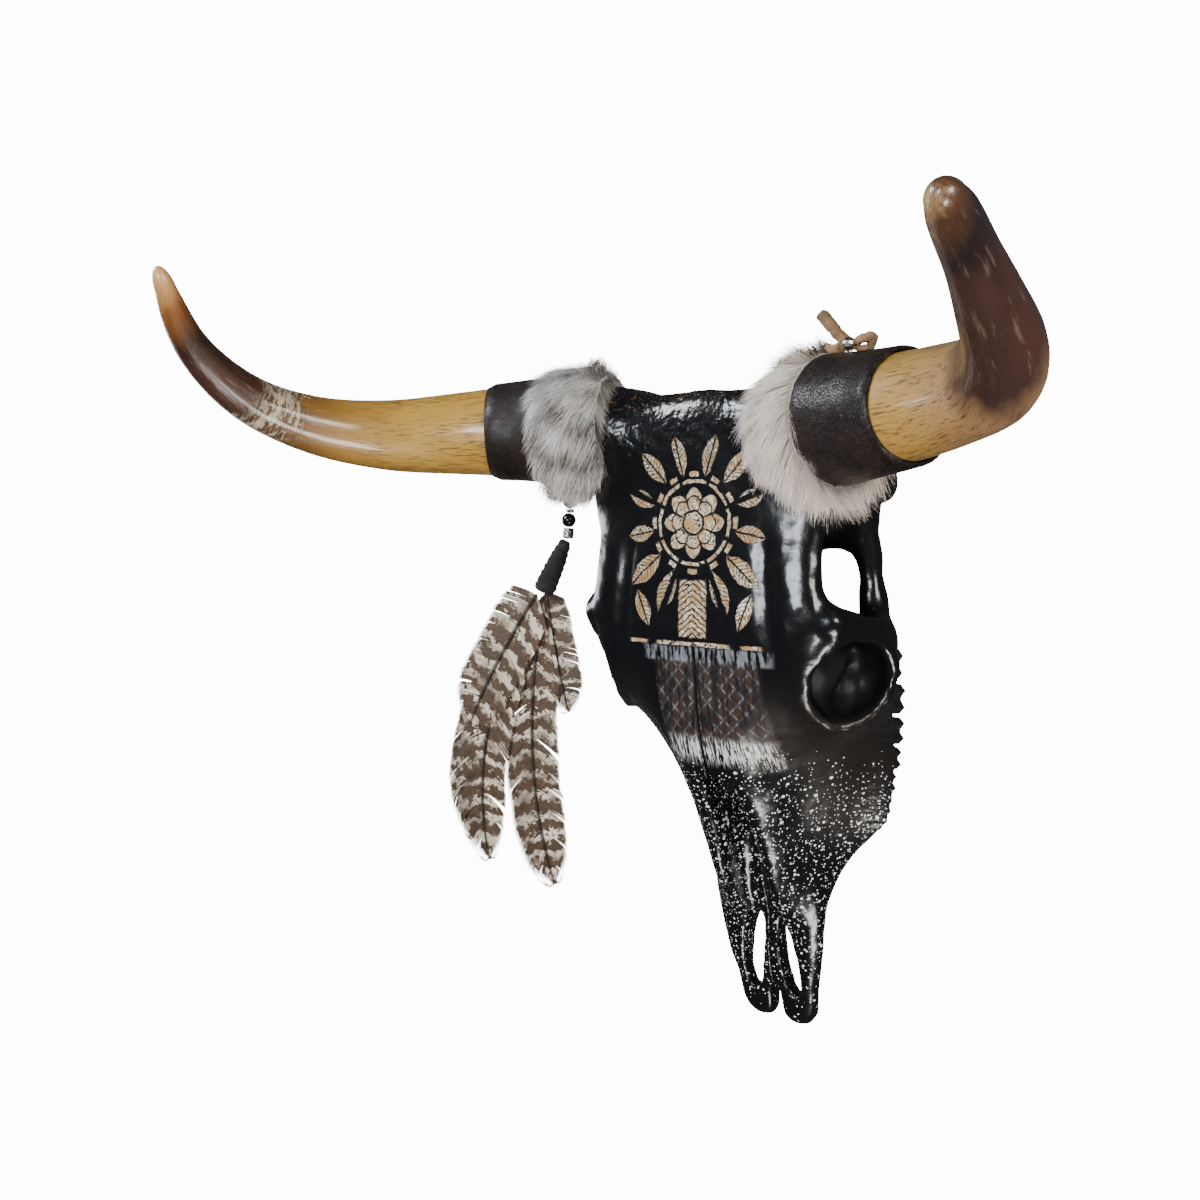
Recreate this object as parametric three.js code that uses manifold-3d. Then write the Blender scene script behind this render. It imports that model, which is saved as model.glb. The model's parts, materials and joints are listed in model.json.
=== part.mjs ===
// Longhorn skull laid on its teeth, dressed with leather sleeves, fur collars and a bundle of barred feathers.
// Millimetres, +Z up. X runs across the skull, the nose points to -Y, and Z = 0 is the surface it lies on.
import * as THREE from 'three';
import { mergeVertices } from 'three/addons/utils/BufferGeometryUtils.js';
import Module from 'manifold-3d';

const wasm = await Module();
wasm.setup();

// Driving dimensions
const NOSE_Y = -296;
const SEAM_GAP = 0.35;
const HORN_BASE_RADIUS = 41;
const SLEEVE_START = 8;
const SLEEVE_END = 68;
const SLEEVE_LEATHER = 2.6;
const TOOTH_TOP = 35;
const BEAD_RADIUS = 7;
const LACE_RADIUS = 1.5;
const FEATHER_THICKNESS = 1.3;
const ROOT_RISE_LENGTH = 70;
const SKULL_TRIANGLES = 4400;
const FUR_TRIANGLES = 560;
const FUR_CLEARANCE = 0.6;
const FUR_DROOP = 9;

// Skull cross-sections, nose to poll. Each holds Y, then one half outline as X, Z pairs:
// roof at the midline, roof, roof edge, brow, flank, cheek, lower edge, palate side, underside at the midline.
const SECTIONS = [
  [-297, 0, 35, 15, 36, 24, 35, 29, 32, 30, 28, 28, 23, 24, 20, 15, 19, 0, 20],
  [-280, 0, 40, 17, 42, 27, 41, 33, 37, 34, 32, 33, 27, 28, 23, 18, 22, 0, 23],
  [-262, 0, 47, 17, 49, 28, 48, 34, 45, 37, 40, 36, 35, 31, 31, 21, 29, 0, 29],
  [-240, 0, 54, 19, 57, 31, 57, 38, 54, 42, 49, 42, 44, 37, 39, 26, 36, 0, 36],
  [-208, 0, 68, 21, 70, 32, 69, 40, 66, 46, 61, 47, 55, 43, 48, 30, 43, 0, 42],
  [-184, 0, 98, 26, 95, 33, 86, 40, 77, 47, 69, 50, 60, 48, 51, 38, 44, 0, 43],
  [-155, 0, 124, 25, 119, 34, 106, 43, 88, 53, 70, 59, 54, 57, 43, 47, 36, 0, 42],
  [-122, 0, 148, 22.5, 142, 34, 126, 48, 103, 68, 76, 82, 52, 82, 36, 72, 27, 0, 43],
  [-90, 0, 170, 19, 168, 35, 151, 53, 124, 74, 92, 87, 60, 85, 39, 74, 27, 0, 45],
  [-55, 0, 184, 28, 181, 54, 166, 75, 138, 90, 102, 94, 68, 87, 42, 75, 27, 0, 46],
  [-26, 0, 191, 40, 190, 74, 180, 97, 158, 107, 126, 98, 86, 86, 48, 75, 28, 0, 49],
  [2, 0, 197, 45, 197, 82, 190, 106, 173, 109, 148, 96, 104, 82, 54, 74, 30, 0, 54],
  [22, 0, 200, 48, 200, 84, 195, 103, 180, 88, 150, 68, 112, 54, 84, 26, 74, 0, 76],
  [48, 0, 203, 50, 202, 86, 198, 98, 188, 76, 160, 52, 124, 37, 99, 20, 84, 0, 82],
  [80, 0, 206, 47, 205, 84, 201, 96, 190, 74, 162, 56, 126, 42, 100, 22, 83, 0, 81],
  [112, 0, 209, 48, 207, 91, 204, 106, 192, 84, 162, 66, 126, 56, 93, 30, 80, 0, 79],
  [142, 0, 212, 50, 209, 94, 206, 110, 193, 92, 162, 74, 126, 62, 96, 34, 82, 0, 80],
  [170, 0, 214, 50, 210, 90, 206, 103, 192, 90, 160, 74, 128, 58, 98, 34, 86, 0, 86],
  [192, 0, 214, 48, 210, 78, 202, 86, 186, 80, 160, 70, 128, 54, 100, 32, 90, 0, 90],
];
// Height above the surface and how far back the nuchal face stands there
const NUCHAL_FACE = [[60, 158], [100, 164], [140, 162], [175, 168], [200, 181], [216, 184]];
// Half-width, floor and roof of the open nose, nose to brow
const NOSE_HALF_WIDTH = [
  [-300, 1], [-262, 8], [-235, 15], [-206, 16], [-184, 16.5], [-160, 17], [-128, 14.5], [-96, 11.5], [-50, 11],
];
const NOSE_FLOOR = [
  [-300, 70], [-262, 62], [-240, 58], [-206, 60], [-184, 70], [-150, 78], [-100, 84], [-50, 96],
];

// Eye socket, right side of the skull mirrored to the left
const ORBIT = {
  centre: new THREE.Vector3(103, -13, 153),
  outward: new THREE.Vector3(0.79, -0.335, 0.515).normalize(),
  rimRadius: 33,
  rimThickness: 6,
  mouthRadius: 29.5,
  depth: 34,
};

// Horn centrelines from base to tip, as the left horn lies (the right one is mirrored), and radii along them
const HORN_LEFT = [
  [100, 161, 200], [150, 162, 218], [199, 163, 245], [238, 163, 282],
  [262, 169, 329], [273, 181, 381], [280, 194, 433], [291, 195, 482],
];
const HORN_RIGHT = [
  [100, 165, 199], [157, 162, 216], [202, 157, 245], [239, 151, 285],
  [265, 151, 334], [281, 163, 385], [284, 191, 432], [276, 238, 470],
];
const HORN_RADII = [[0, HORN_BASE_RADIUS], [0.14, 36], [0.29, 31.5], [0.43, 27], [0.57, 22], [0.71, 17],
  [0.86, 11.8], [0.95, 8], [0.985, 5]];

// Cheek teeth of one side, front to back: length along the row and width across it
const TEETH = [[16, 15], [19, 17], [20, 19], [24, 22], [27, 23], [28, 22]];
const TOOTH_ROW_START = -120;
const TOOTH_OUTER_X = [69, 73, 76, 77, 76, 72];

// Feathers on the surface, right side of the skull: root, bend and tip in plan, half-widths left and right,
// how high the feather lies, and how wide its root is cut
const FEATHERS = [
  { root: [-316, 40], bend: [-447, -106], tip: [-383, -212], left: 22, right: 20, lie: 0.4, rootWidth: 0.35 },
  { root: [-299, 37], bend: [-283, -15], tip: [-262, -69], left: 24, right: 17, lie: 0.4, rootWidth: 0.55 },
  { root: [-306, 38], bend: [-350, -121], tip: [-268, -238], left: 21, right: 38, lie: 3.1, rootWidth: 0.35 },
  { root: [-311, 38], bend: [-402, -107], tip: [-352, -228], left: 31, right: 32, lie: 5.8, rootWidth: 0.35 },
  { root: [-310, 39], bend: [-362, -25], tip: [-390, -96], left: 34, right: 40, lie: 8.5, rootWidth: 0.8 },
];

// Leather lace of the feather bundle, from under the right fur collar down to the surface and to the first bead
const HANGER_ROUTE = [
  [-129, 134, 160], [-133, 131, 148], [-139, 129, 128], [-145, 129, 104], [-151, 131, 80], [-157, 134, 56],
  [-164, 138, 34], [-174, 143, 16], [-188, 148, 6.5], [-206, 153, 2.9], [-226, 157, 2.3], [-246, 158, 2.2],
  [-262, 156, 2.4], [-274, 150, 3.6], [-280, 143, 5.8], [-281, 141, 6.6],
];

// Small shared helpers
const clamp01 = (value) => Math.min(Math.max(value, 0), 1);

function smoothMin(a, b, blend) {
  const near = Math.max(blend - Math.abs(a - b), 0) / blend;
  return Math.min(a, b) - (near * near * blend) / 4;
}

const smoothMax = (a, b, blend) => -smoothMin(-a, -b, blend);

function smoothCurve(points) {
  const places = points.map((point) => point[0]);
  const values = points.map((point) => point[1]);
  const curve = new THREE.CubicInterpolant(places, values, 1);
  const first = places[0];
  const last = places[places.length - 1];
  return (place) => curve.evaluate(Math.min(Math.max(place, first), last))[0];
}

// Distance to an ellipsoid, good near its surface
function ellipsoid(x, y, z, centre, radii) {
  const u = [(x - centre[0]) / radii[0], (y - centre[1]) / radii[1], (z - centre[2]) / radii[2]];
  const scaled = Math.hypot(...u);
  const slope = Math.hypot(u[0] / radii[0], u[1] / radii[1], u[2] / radii[2]);
  return slope < 1e-9 ? -Math.min(...radii) : (scaled * (scaled - 1)) / slope;
}

// Distance to a straight bar with round ends and a radius at each end
function taperedBar(x, y, z, from, to, fromRadius, toRadius) {
  const axis = [to[0] - from[0], to[1] - from[1], to[2] - from[2]];
  const rel = [x - from[0], y - from[1], z - from[2]];
  const along = (rel[0] * axis[0] + rel[1] * axis[1] + rel[2] * axis[2])
    / (axis[0] ** 2 + axis[1] ** 2 + axis[2] ** 2);
  const t = clamp01(along);
  const off = Math.hypot(rel[0] - axis[0] * t, rel[1] - axis[1] * t, rel[2] - axis[2] * t);
  return off - THREE.MathUtils.lerp(fromRadius, toRadius, t);
}

// Skull form as a distance field
const sectionPlaces = SECTIONS.map((section) => section[0]);
const sectionValues = SECTIONS.flatMap((section) => section.slice(1));
const sectionSize = SECTIONS[0].length - 1;
const sectionCurve = new THREE.CubicInterpolant(sectionPlaces, sectionValues, sectionSize);
const nuchalFace = smoothCurve(NUCHAL_FACE);
const noseHalfWidth = smoothCurve(NOSE_HALF_WIDTH);
const noseFloor = smoothCurve(NOSE_FLOOR);

function sectionDistance(side, y, z) {
  const lowest = sectionPlaces[0];
  const highest = sectionPlaces[sectionPlaces.length - 1];
  const outline = sectionCurve.evaluate(Math.min(Math.max(y, lowest), highest));
  let nearest = Infinity;
  let inside = false;
  const count = sectionSize / 2;
  for (let i = 0; i < count; i += 1) {
    const j = (i + 1) % count;
    const ax = outline[i * 2];
    const az = outline[i * 2 + 1];
    const bx = outline[j * 2];
    const bz = outline[j * 2 + 1];
    const ex = bx - ax;
    const ez = bz - az;
    if (j !== 0) {
      const t = clamp01(((side - ax) * ex + (z - az) * ez) / (ex * ex + ez * ez));
      nearest = Math.min(nearest, Math.hypot(side - ax - ex * t, z - az - ez * t));
    }
    if ((az > z) !== (bz > z) && side < ax + (ex * (z - az)) / ez) inside = !inside;
  }
  return inside ? -nearest : nearest;
}

function orbitFrame(side, y, z) {
  const rel = new THREE.Vector3(side, y, z).sub(ORBIT.centre);
  const out = rel.dot(ORBIT.outward);
  const flat = Math.sqrt(Math.max(rel.lengthSq() - out * out, 0));
  return { out, flat };
}

function skullField(x, y, z) {
  const side = Math.abs(x);
  let d = sectionDistance(side, y, z);
  d = smoothMax(d, y - nuchalFace(z), 12);
  d = smoothMax(d, NOSE_Y + ((side - 17) ** 2) / 28 - y, 8);

  // Horn cores, poll ridge and brow
  d = smoothMin(d, taperedBar(side, y, z, [62, 163, 188], [94, 163, 198], 30, 35), 16);
  d = smoothMax(d, (side - 98) * 0.94 + (z - 199) * 0.34, 3);
  d = smoothMin(d, ellipsoid(side, y, z, [0, 176, 206], [44, 10, 9]), 10);
  d = smoothMin(d, ellipsoid(side, y, z, [78, 44, 196], [13, 44, 8]), 12);

  // Bar behind the eye, cheek arch and jaw joint
  d = smoothMin(d, taperedBar(side, y, z, [100, 27, 180], [111, 24, 138], 12, 10.5), 12);
  d = smoothMin(d, taperedBar(side, y, z, [104, -6, 122], [107, 16, 125], 13, 13), 12);
  d = smoothMin(d, taperedBar(side, y, z, [107, 16, 125], [101, 47, 122], 13, 9.5), 10);
  d = smoothMin(d, taperedBar(side, y, z, [101, 47, 122], [98, 80, 128], 9.5, 9), 8);
  d = smoothMin(d, taperedBar(side, y, z, [98, 80, 128], [94, 114, 138], 9, 11), 8);
  d = smoothMin(d, ellipsoid(side, y, z, [95, 133, 113], [12, 18, 24]), 12);
  d = smoothMin(d, ellipsoid(side, y, z, [76, 110, 134], [30, 31, 9]), 10);

  // Cheekbone under the eye and cheek crest
  d = smoothMin(d, ellipsoid(side, y, z, [90, -16, 106], [16, 36, 20]), 10);
  d = smoothMin(d, ellipsoid(side, y, z, [86, -92, 54], [8, 34, 9]), 12);

  // Raised rim, cup and inner boss of the eye socket
  const orbit = orbitFrame(side, y, z);
  const rim = Math.hypot(orbit.flat - ORBIT.rimRadius, orbit.out + 2) - ORBIT.rimThickness;
  d = smoothMin(d, rim, 8);
  const cup = Math.hypot(orbit.flat / ORBIT.mouthRadius, Math.max(-orbit.out, 0) / ORBIT.depth);
  d = smoothMax(d, (1 - cup) * ORBIT.mouthRadius, 4);
  d = smoothMin(d, taperedBar(side, y, z, [78, -24, 146], [86, 2, 139], 7, 8), 4);

  // Open nose and the cavity that runs back under the nasal bones
  const cavityRoof = y > -94 ? sectionCurve.evaluate(y)[1] - 13 : 400;
  const channel = Math.max(side - noseHalfWidth(y), noseFloor(y) - z, z - cavityRoof, y + 58);
  d = smoothMax(d, -channel, 5);

  // Palatine slots, the gap between the tips and the vaulted palate
  const lean = (y + 237) * 0.11;
  const slot = (Math.hypot((side - 15.5 + lean) / 7.6, (y + 237) / 34) - 1) * 7.6;
  d = smoothMax(d, -slot, 3);
  const tipGap = (Math.hypot(side / 4.2, (y + 288) / 26) - 1) * 4.2;
  d = smoothMax(d, -tipGap, 3);
  d = smoothMax(d, -ellipsoid(side, y, z, [0, -62, 26], [50, 92, 26]), 8);

  // Pterygoid plates, throat opening, ear capsules and jugular processes
  d = smoothMin(d, ellipsoid(side, y, z, [19, 34, 70], [5, 28, 24]), 8);
  d = smoothMin(d, ellipsoid(side, y, z, [44, 110, 70], [11, 17, 18]), 10);
  d = smoothMin(d, taperedBar(side, y, z, [54, 146, 84], [49, 147, -4], 15, 9), 12);
  d = smoothMin(d, ellipsoid(side, y, z, [27, 165, 92], [14, 16, 21]), 8);
  d = smoothMax(d, -ellipsoid(side, y, z, [0, 166, 104], [15, 34, 17]), 5);
  return Math.max(d, -z);
}

// Grid lines between two places with a spacing that changes at a given place
function gridLines(from, change, to, fineStep, coarseStep) {
  const fine = Math.round((change - from) / fineStep);
  const coarse = Math.round((to - change) / coarseStep);
  const lines = [];
  for (let i = 0; i < fine; i += 1) lines.push(from + ((change - from) * i) / fine);
  for (let i = 0; i <= coarse; i += 1) lines.push(change + ((to - change) * i) / coarse);
  return lines;
}

// Corner pairs of a cell that face each other across a face or through the cell, and the corners between them
const DIAGONALS = [[0, 7], [1, 6], [2, 5], [3, 4]].map((pair) => (
  { pair, between: [0, 1, 2, 3, 4, 5, 6, 7].filter((corner) => !pair.includes(corner)) }
));
for (const [flat, u, v] of [[1, 2, 4], [2, 1, 4], [4, 1, 2]]) {
  for (const start of [0, flat]) DIAGONALS.push({ pair: [start, start | u | v], between: [start | u, start | v] });
}

// Bone that touches only along such a diagonal is joined, so that the net closes without doubled edges
function joinDiagonals(values, index, xs, ys, zs) {
  let joined = true;
  const cornerIndex = (i, j, k, corner) => index(i + (corner & 1), j + ((corner >> 1) & 1), k + (corner >> 2));
  while (joined) {
    joined = false;
    for (let i = 0; i < xs.length - 1; i += 1) {
      for (let j = 0; j < ys.length - 1; j += 1) {
        for (let k = 0; k < zs.length - 1; k += 1) {
          for (const { pair, between } of DIAGONALS) {
            const inside = (corner) => values[cornerIndex(i, j, k, corner)] < 0;
            const kind = inside(pair[0]);
            if (inside(pair[1]) !== kind || between.some((corner) => inside(corner) === kind)) continue;
            const open = (kind ? between : pair).map((corner) => cornerIndex(i, j, k, corner));
            open.sort((a, b) => values[a] - values[b]);
            values[open[0]] = -0.05;
            joined = true;
          }
        }
      }
    }
  }
}

// Closed surface where the field is zero, with one vertex in each cell that the surface crosses
function surfaceNet(field, xs, ys, zs, squeeze) {
  const place = (i, j, k) => [xs[i] * squeeze(ys[j]), ys[j], zs[k]];
  const index = (i, j, k) => (i * ys.length + j) * zs.length + k;
  const values = new Float64Array(xs.length * ys.length * zs.length);
  for (let i = 0; i < xs.length; i += 1) {
    for (let j = 0; j < ys.length; j += 1) {
      for (let k = 0; k < zs.length; k += 1) values[index(i, j, k)] = field(...place(i, j, k));
    }
  }
  joinDiagonals(values, index, xs, ys, zs);
  const vertices = [];
  const cells = new Map();
  const cellVertex = (i, j, k) => {
    const key = index(i, j, k);
    if (cells.has(key)) return cells.get(key);
    const sum = [0, 0, 0];
    let crossings = 0;
    for (let edge = 0; edge < 12; edge += 1) {
      const axis = Math.floor(edge / 4);
      const start = [0, 0, 0];
      start[(axis + 1) % 3] = edge & 1;
      start[(axis + 2) % 3] = (edge >> 1) & 1;
      const end = [...start];
      end[axis] = 1;
      const a = values[index(i + start[0], j + start[1], k + start[2])];
      const b = values[index(i + end[0], j + end[1], k + end[2])];
      if ((a < 0) === (b < 0)) continue;
      const t = a / (a - b);
      const from = place(i + start[0], j + start[1], k + start[2]);
      const to = place(i + end[0], j + end[1], k + end[2]);
      for (let c = 0; c < 3; c += 1) sum[c] += from[c] + (to[c] - from[c]) * t;
      crossings += 1;
    }
    vertices.push(sum.map((value) => value / crossings));
    cells.set(key, vertices.length - 1);
    return vertices.length - 1;
  };
  const quads = [];
  for (let i = 1; i < xs.length - 1; i += 1) {
    for (let j = 1; j < ys.length - 1; j += 1) {
      for (let k = 1; k < zs.length - 1; k += 1) {
        const here = values[index(i, j, k)] < 0;
        for (let axis = 0; axis < 3; axis += 1) {
          const step = [0, 0, 0];
          step[axis] = 1;
          const there = values[index(i + step[0], j + step[1], k + step[2])] < 0;
          if (here === there) continue;
          const u = [0, 0, 0];
          const v = [0, 0, 0];
          u[(axis + 1) % 3] = 1;
          v[(axis + 2) % 3] = 1;
          const ring = [[0, 0], [1, 0], [1, 1], [0, 1]].map(([p, q]) => cellVertex(
            i - u[0] * p - v[0] * q, j - u[1] * p - v[1] * q, k - u[2] * p - v[2] * q,
          ));
          quads.push(here ? ring : ring.reverse());
        }
      }
    }
  }
  return { vertices, quads };
}

// Evens out the net and pulls each vertex back to the zero surface
function relax(net, field, rounds) {
  const neighbours = net.vertices.map(() => new Set());
  for (const quad of net.quads) {
    quad.forEach((vertex, corner) => {
      neighbours[vertex].add(quad[(corner + 1) % 4]);
      neighbours[vertex].add(quad[(corner + 3) % 4]);
    });
  }
  const reach = 0.4;
  for (let round = 0; round < rounds; round += 1) {
    const moved = net.vertices.map((vertex, id) => {
      const mean = [0, 0, 0];
      for (const other of neighbours[id]) {
        for (let c = 0; c < 3; c += 1) mean[c] += net.vertices[other][c] / neighbours[id].size;
      }
      return vertex.map((value, c) => value + (mean[c] - value) * 0.5);
    });
    net.vertices = moved.map(([x, y, z]) => {
      const value = field(x, y, z);
      const slope = [
        (field(x + reach, y, z) - field(x - reach, y, z)) / (2 * reach),
        (field(x, y + reach, z) - field(x, y - reach, z)) / (2 * reach),
        (field(x, y, z + reach) - field(x, y, z - reach)) / (2 * reach),
      ];
      const steep = Math.max(slope[0] ** 2 + slope[1] ** 2 + slope[2] ** 2, 0.25);
      const pull = THREE.MathUtils.clamp(value, -3, 3) / steep;
      return [x - slope[0] * pull, y - slope[1] * pull, Math.max(z - slope[2] * pull, 0)];
    });
  }
  return net;
}

// Removes the vertices that shape the surface least, until it has the wanted number of triangles
function simplify(geometry, wanted) {
  const points = [];
  const position = geometry.getAttribute('position');
  for (let i = 0; i < position.count; i += 1) points.push(new THREE.Vector3().fromBufferAttribute(position, i));
  const source = geometry.index.array;
  const faces = [];
  const facesOf = points.map(() => new Set());
  const quadrics = points.map(() => new Float64Array(10));
  const versions = new Uint32Array(points.length);
  const faceNormal = (a, b, c) => b.clone().sub(a).cross(c.clone().sub(a));
  for (let i = 0; i < source.length; i += 3) {
    const face = [source[i], source[i + 1], source[i + 2]];
    const normal = faceNormal(...face.map((id) => points[id]));
    const area = normal.length();
    normal.normalize();
    const plane = [normal.x, normal.y, normal.z, -normal.dot(points[face[0]])];
    for (const id of face) {
      facesOf[id].add(faces.length);
      let slot = 0;
      for (let r = 0; r < 4; r += 1) {
        for (let c = r; c < 4; c += 1) {
          quadrics[id][slot] += plane[r] * plane[c] * area;
          slot += 1;
        }
      }
    }
    faces.push(face);
  }
  const errorAt = (q, v) => q[0] * v.x * v.x + 2 * q[1] * v.x * v.y + 2 * q[2] * v.x * v.z + 2 * q[3] * v.x
    + q[4] * v.y * v.y + 2 * q[5] * v.y * v.z + 2 * q[6] * v.y + q[7] * v.z * v.z + 2 * q[8] * v.z + q[9];
  const neighboursOf = (id) => {
    const around = new Set();
    for (const face of facesOf[id]) faces[face].forEach((other) => around.add(other));
    around.delete(id);
    return around;
  };
  const heap = [];
  const swap = (i, j) => {
    [heap[i], heap[j]] = [heap[j], heap[i]];
  };
  const push = (entry) => {
    let i = heap.push(entry) - 1;
    while (i > 0 && heap[(i - 1) >> 1].cost > heap[i].cost) {
      swap(i, (i - 1) >> 1);
      i = (i - 1) >> 1;
    }
  };
  const pop = () => {
    const top = heap[0];
    const last = heap.pop();
    if (heap.length === 0) return top;
    heap[0] = last;
    let i = 0;
    for (;;) {
      let least = i;
      for (const child of [2 * i + 1, 2 * i + 2]) {
        if (child < heap.length && heap[child].cost < heap[least].cost) least = child;
      }
      if (least === i) return top;
      swap(i, least);
      i = least;
    }
  };
  const consider = (a, b) => {
    const sum = quadrics[a].map((value, slot) => value + quadrics[b][slot]);
    const middle = points[a].clone().add(points[b]).multiplyScalar(0.5);
    const matrix = new THREE.Matrix3().set(sum[0], sum[1], sum[2], sum[1], sum[4], sum[5], sum[2], sum[5], sum[7]);
    const choices = [middle, points[a], points[b]];
    if (Math.abs(matrix.determinant()) > 1e-3 * sum[0] * sum[4] * sum[7]) {
      const best = new THREE.Vector3(-sum[3], -sum[6], -sum[8]).applyMatrix3(matrix.invert());
      best.z = Math.max(best.z, 0);
      if (best.distanceTo(middle) < points[a].distanceTo(points[b])) choices.push(best);
    }
    const costs = choices.map((choice) => errorAt(sum, choice));
    const cost = Math.min(...costs);
    const length = points[a].distanceToSquared(points[b]);
    push({
      a, b, at: choices[costs.indexOf(cost)].clone(), cost: cost + length * 0.02, version: versions[a] + versions[b],
    });
  };
  points.forEach((_, id) => neighboursOf(id).forEach((other) => other > id && consider(id, other)));
  let left = faces.length;
  while (left > wanted && heap.length > 0) {
    const { a, b, at, version } = pop();
    if (facesOf[a].size === 0 || facesOf[b].size === 0 || versions[a] + versions[b] !== version) continue;
    const shared = [...neighboursOf(a)].filter((id) => neighboursOf(b).has(id));
    const kept = [...facesOf[a], ...facesOf[b]].filter((face) => !(faces[face].includes(a) && faces[face].includes(b)));
    const folds = kept.some((face) => {
      const before = faceNormal(...faces[face].map((id) => points[id])).normalize();
      const after = faceNormal(...faces[face].map((id) => (id === a || id === b ? at : points[id])));
      return after.length() < 0.5 || after.normalize().dot(before) < 0.35;
    });
    if (shared.length !== 2 || folds) continue;
    for (const face of [...facesOf[b]]) {
      if (faces[face].includes(a)) {
        faces[face].forEach((id) => facesOf[id].delete(face));
        left -= 1;
      } else {
        faces[face] = faces[face].map((id) => (id === b ? a : id));
        facesOf[a].add(face);
      }
    }
    facesOf[b].clear();
    points[a].copy(at);
    quadrics[b].forEach((value, slot) => {
      quadrics[a][slot] += value;
    });
    versions[a] += 1;
    const around = neighboursOf(a);
    around.forEach((id) => {
      versions[id] += 1;
    });
    around.forEach((id) => consider(a, id));
    const spokes = new Set();
    for (const id of around) {
      for (const other of neighboursOf(id)) {
        const key = id < other ? `${id},${other}` : `${other},${id}`;
        if (other !== a && !spokes.has(key)) consider(id, other);
        spokes.add(key);
      }
    }
  }
  const numbers = new Map();
  const flat = [];
  const triangles = [];
  for (const face of new Set(facesOf.flatMap((set) => [...set]))) {
    for (const id of faces[face]) {
      if (!numbers.has(id)) {
        numbers.set(id, flat.length / 3);
        flat.push(...points[id].toArray());
      }
      triangles.push(numbers.get(id));
    }
  }
  const result = new THREE.BufferGeometry();
  result.setAttribute('position', new THREE.Float32BufferAttribute(flat, 3));
  result.setIndex(triangles);
  return result;
}

function netGeometry(net) {
  const triangles = [];
  const gap = (a, b) => Math.hypot(...a.map((value, c) => value - b[c]));
  for (const [a, b, c, d] of net.quads) {
    const corners = [a, b, c, d].map((id) => net.vertices[id]);
    const across = gap(corners[0], corners[2]) <= gap(corners[1], corners[3]);
    triangles.push(...(across ? [a, b, c, a, c, d] : [a, b, d, b, c, d]));
  }
  const geometry = new THREE.BufferGeometry();
  geometry.setAttribute('position', new THREE.Float32BufferAttribute(net.vertices.flat(), 3));
  geometry.setIndex(triangles);
  return geometry;
}

// Shared vertices are merged, and triangles that the merge closes up are left out
function weld(geometry) {
  const plain = geometry.clone();
  plain.deleteAttribute('normal');
  plain.deleteAttribute('uv');
  const merged = mergeVertices(plain, 1e-4);
  const source = merged.index.array;
  const triangles = [];
  for (let i = 0; i < source.length; i += 3) {
    const [a, b, c] = [source[i], source[i + 1], source[i + 2]];
    if (a !== b && b !== c && a !== c) triangles.push(a, b, c);
  }
  merged.setIndex(triangles);
  return merged;
}

// Joining and cutting
function toSolid(geometry) {
  const vertProperties = new Float32Array(geometry.getAttribute('position').array);
  const triVerts = new Uint32Array(geometry.index.array);
  return new wasm.Manifold(new wasm.Mesh({ numProp: 3, vertProperties, triVerts }));
}

function toGeometry(solid) {
  const mesh = solid.getMesh();
  const geometry = new THREE.BufferGeometry();
  geometry.setAttribute('position', new THREE.Float32BufferAttribute(mesh.vertProperties, 3));
  geometry.setIndex(Array.from(mesh.triVerts));
  return geometry;
}

// Turned and bent pieces
function bendAlong(geometry, curve, length) {
  const steps = 200;
  const frames = curve.computeFrenetFrames(steps);
  const position = geometry.getAttribute('position');
  for (let i = 0; i < position.count; i += 1) {
    const along = position.getY(i) / length;
    const t = clamp01(along);
    const frame = Math.round(t * steps);
    const point = curve.getPointAt(t);
    point.addScaledVector(curve.getTangentAt(t), (along - t) * length);
    point.addScaledVector(frames.normals[frame], position.getX(i));
    point.addScaledVector(frames.binormals[frame], -position.getZ(i));
    position.setXYZ(i, point.x, point.y, point.z);
  }
  return geometry;
}

// The skull's right side is -X: a route given for +X is mirrored for it
function hornCurve(points, mirror) {
  return new THREE.CatmullRomCurve3(points.map(([x, y, z]) => new THREE.Vector3(x * mirror, y, z)));
}

const hornRadius = smoothCurve(HORN_RADII);

function hornGeometry(curve) {
  const length = curve.getLength();
  const rings = 14;
  const profile = [new THREE.Vector2(0, 0)];
  for (let i = 0; i <= rings; i += 1) {
    const t = (i / rings) * 0.985;
    profile.push(new THREE.Vector2(hornRadius(t), t * length));
  }
  profile.push(new THREE.Vector2(0, length));
  return bendAlong(weld(new THREE.LatheGeometry(profile, 16)), curve, length);
}

function ringGeometry(curve, outline, sides) {
  const profile = outline.map(([radius, along]) => new THREE.Vector2(radius, along));
  profile.push(profile[0].clone());
  return bendAlong(weld(new THREE.LatheGeometry(profile, sides)), curve, curve.getLength());
}

function sleeveRadius(curve, along, skin) {
  return hornRadius(along / curve.getLength()) + skin;
}

function sleeveGeometry(curve) {
  const inner = 1;
  const outer = inner + SLEEVE_LEATHER;
  const rows = [0, 0.5, 1].map((t) => THREE.MathUtils.lerp(SLEEVE_START, SLEEVE_END, t));
  const outline = rows.map((along) => [sleeveRadius(curve, along, inner), along]);
  outline.push(...rows.reverse().map((along) => [sleeveRadius(curve, along, outer), along]));
  return ringGeometry(curve, outline.reverse(), 16);
}

const largestBody = (solid) => solid.decompose().sort((a, b) => b.volume() - a.volume())[0];

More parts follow.
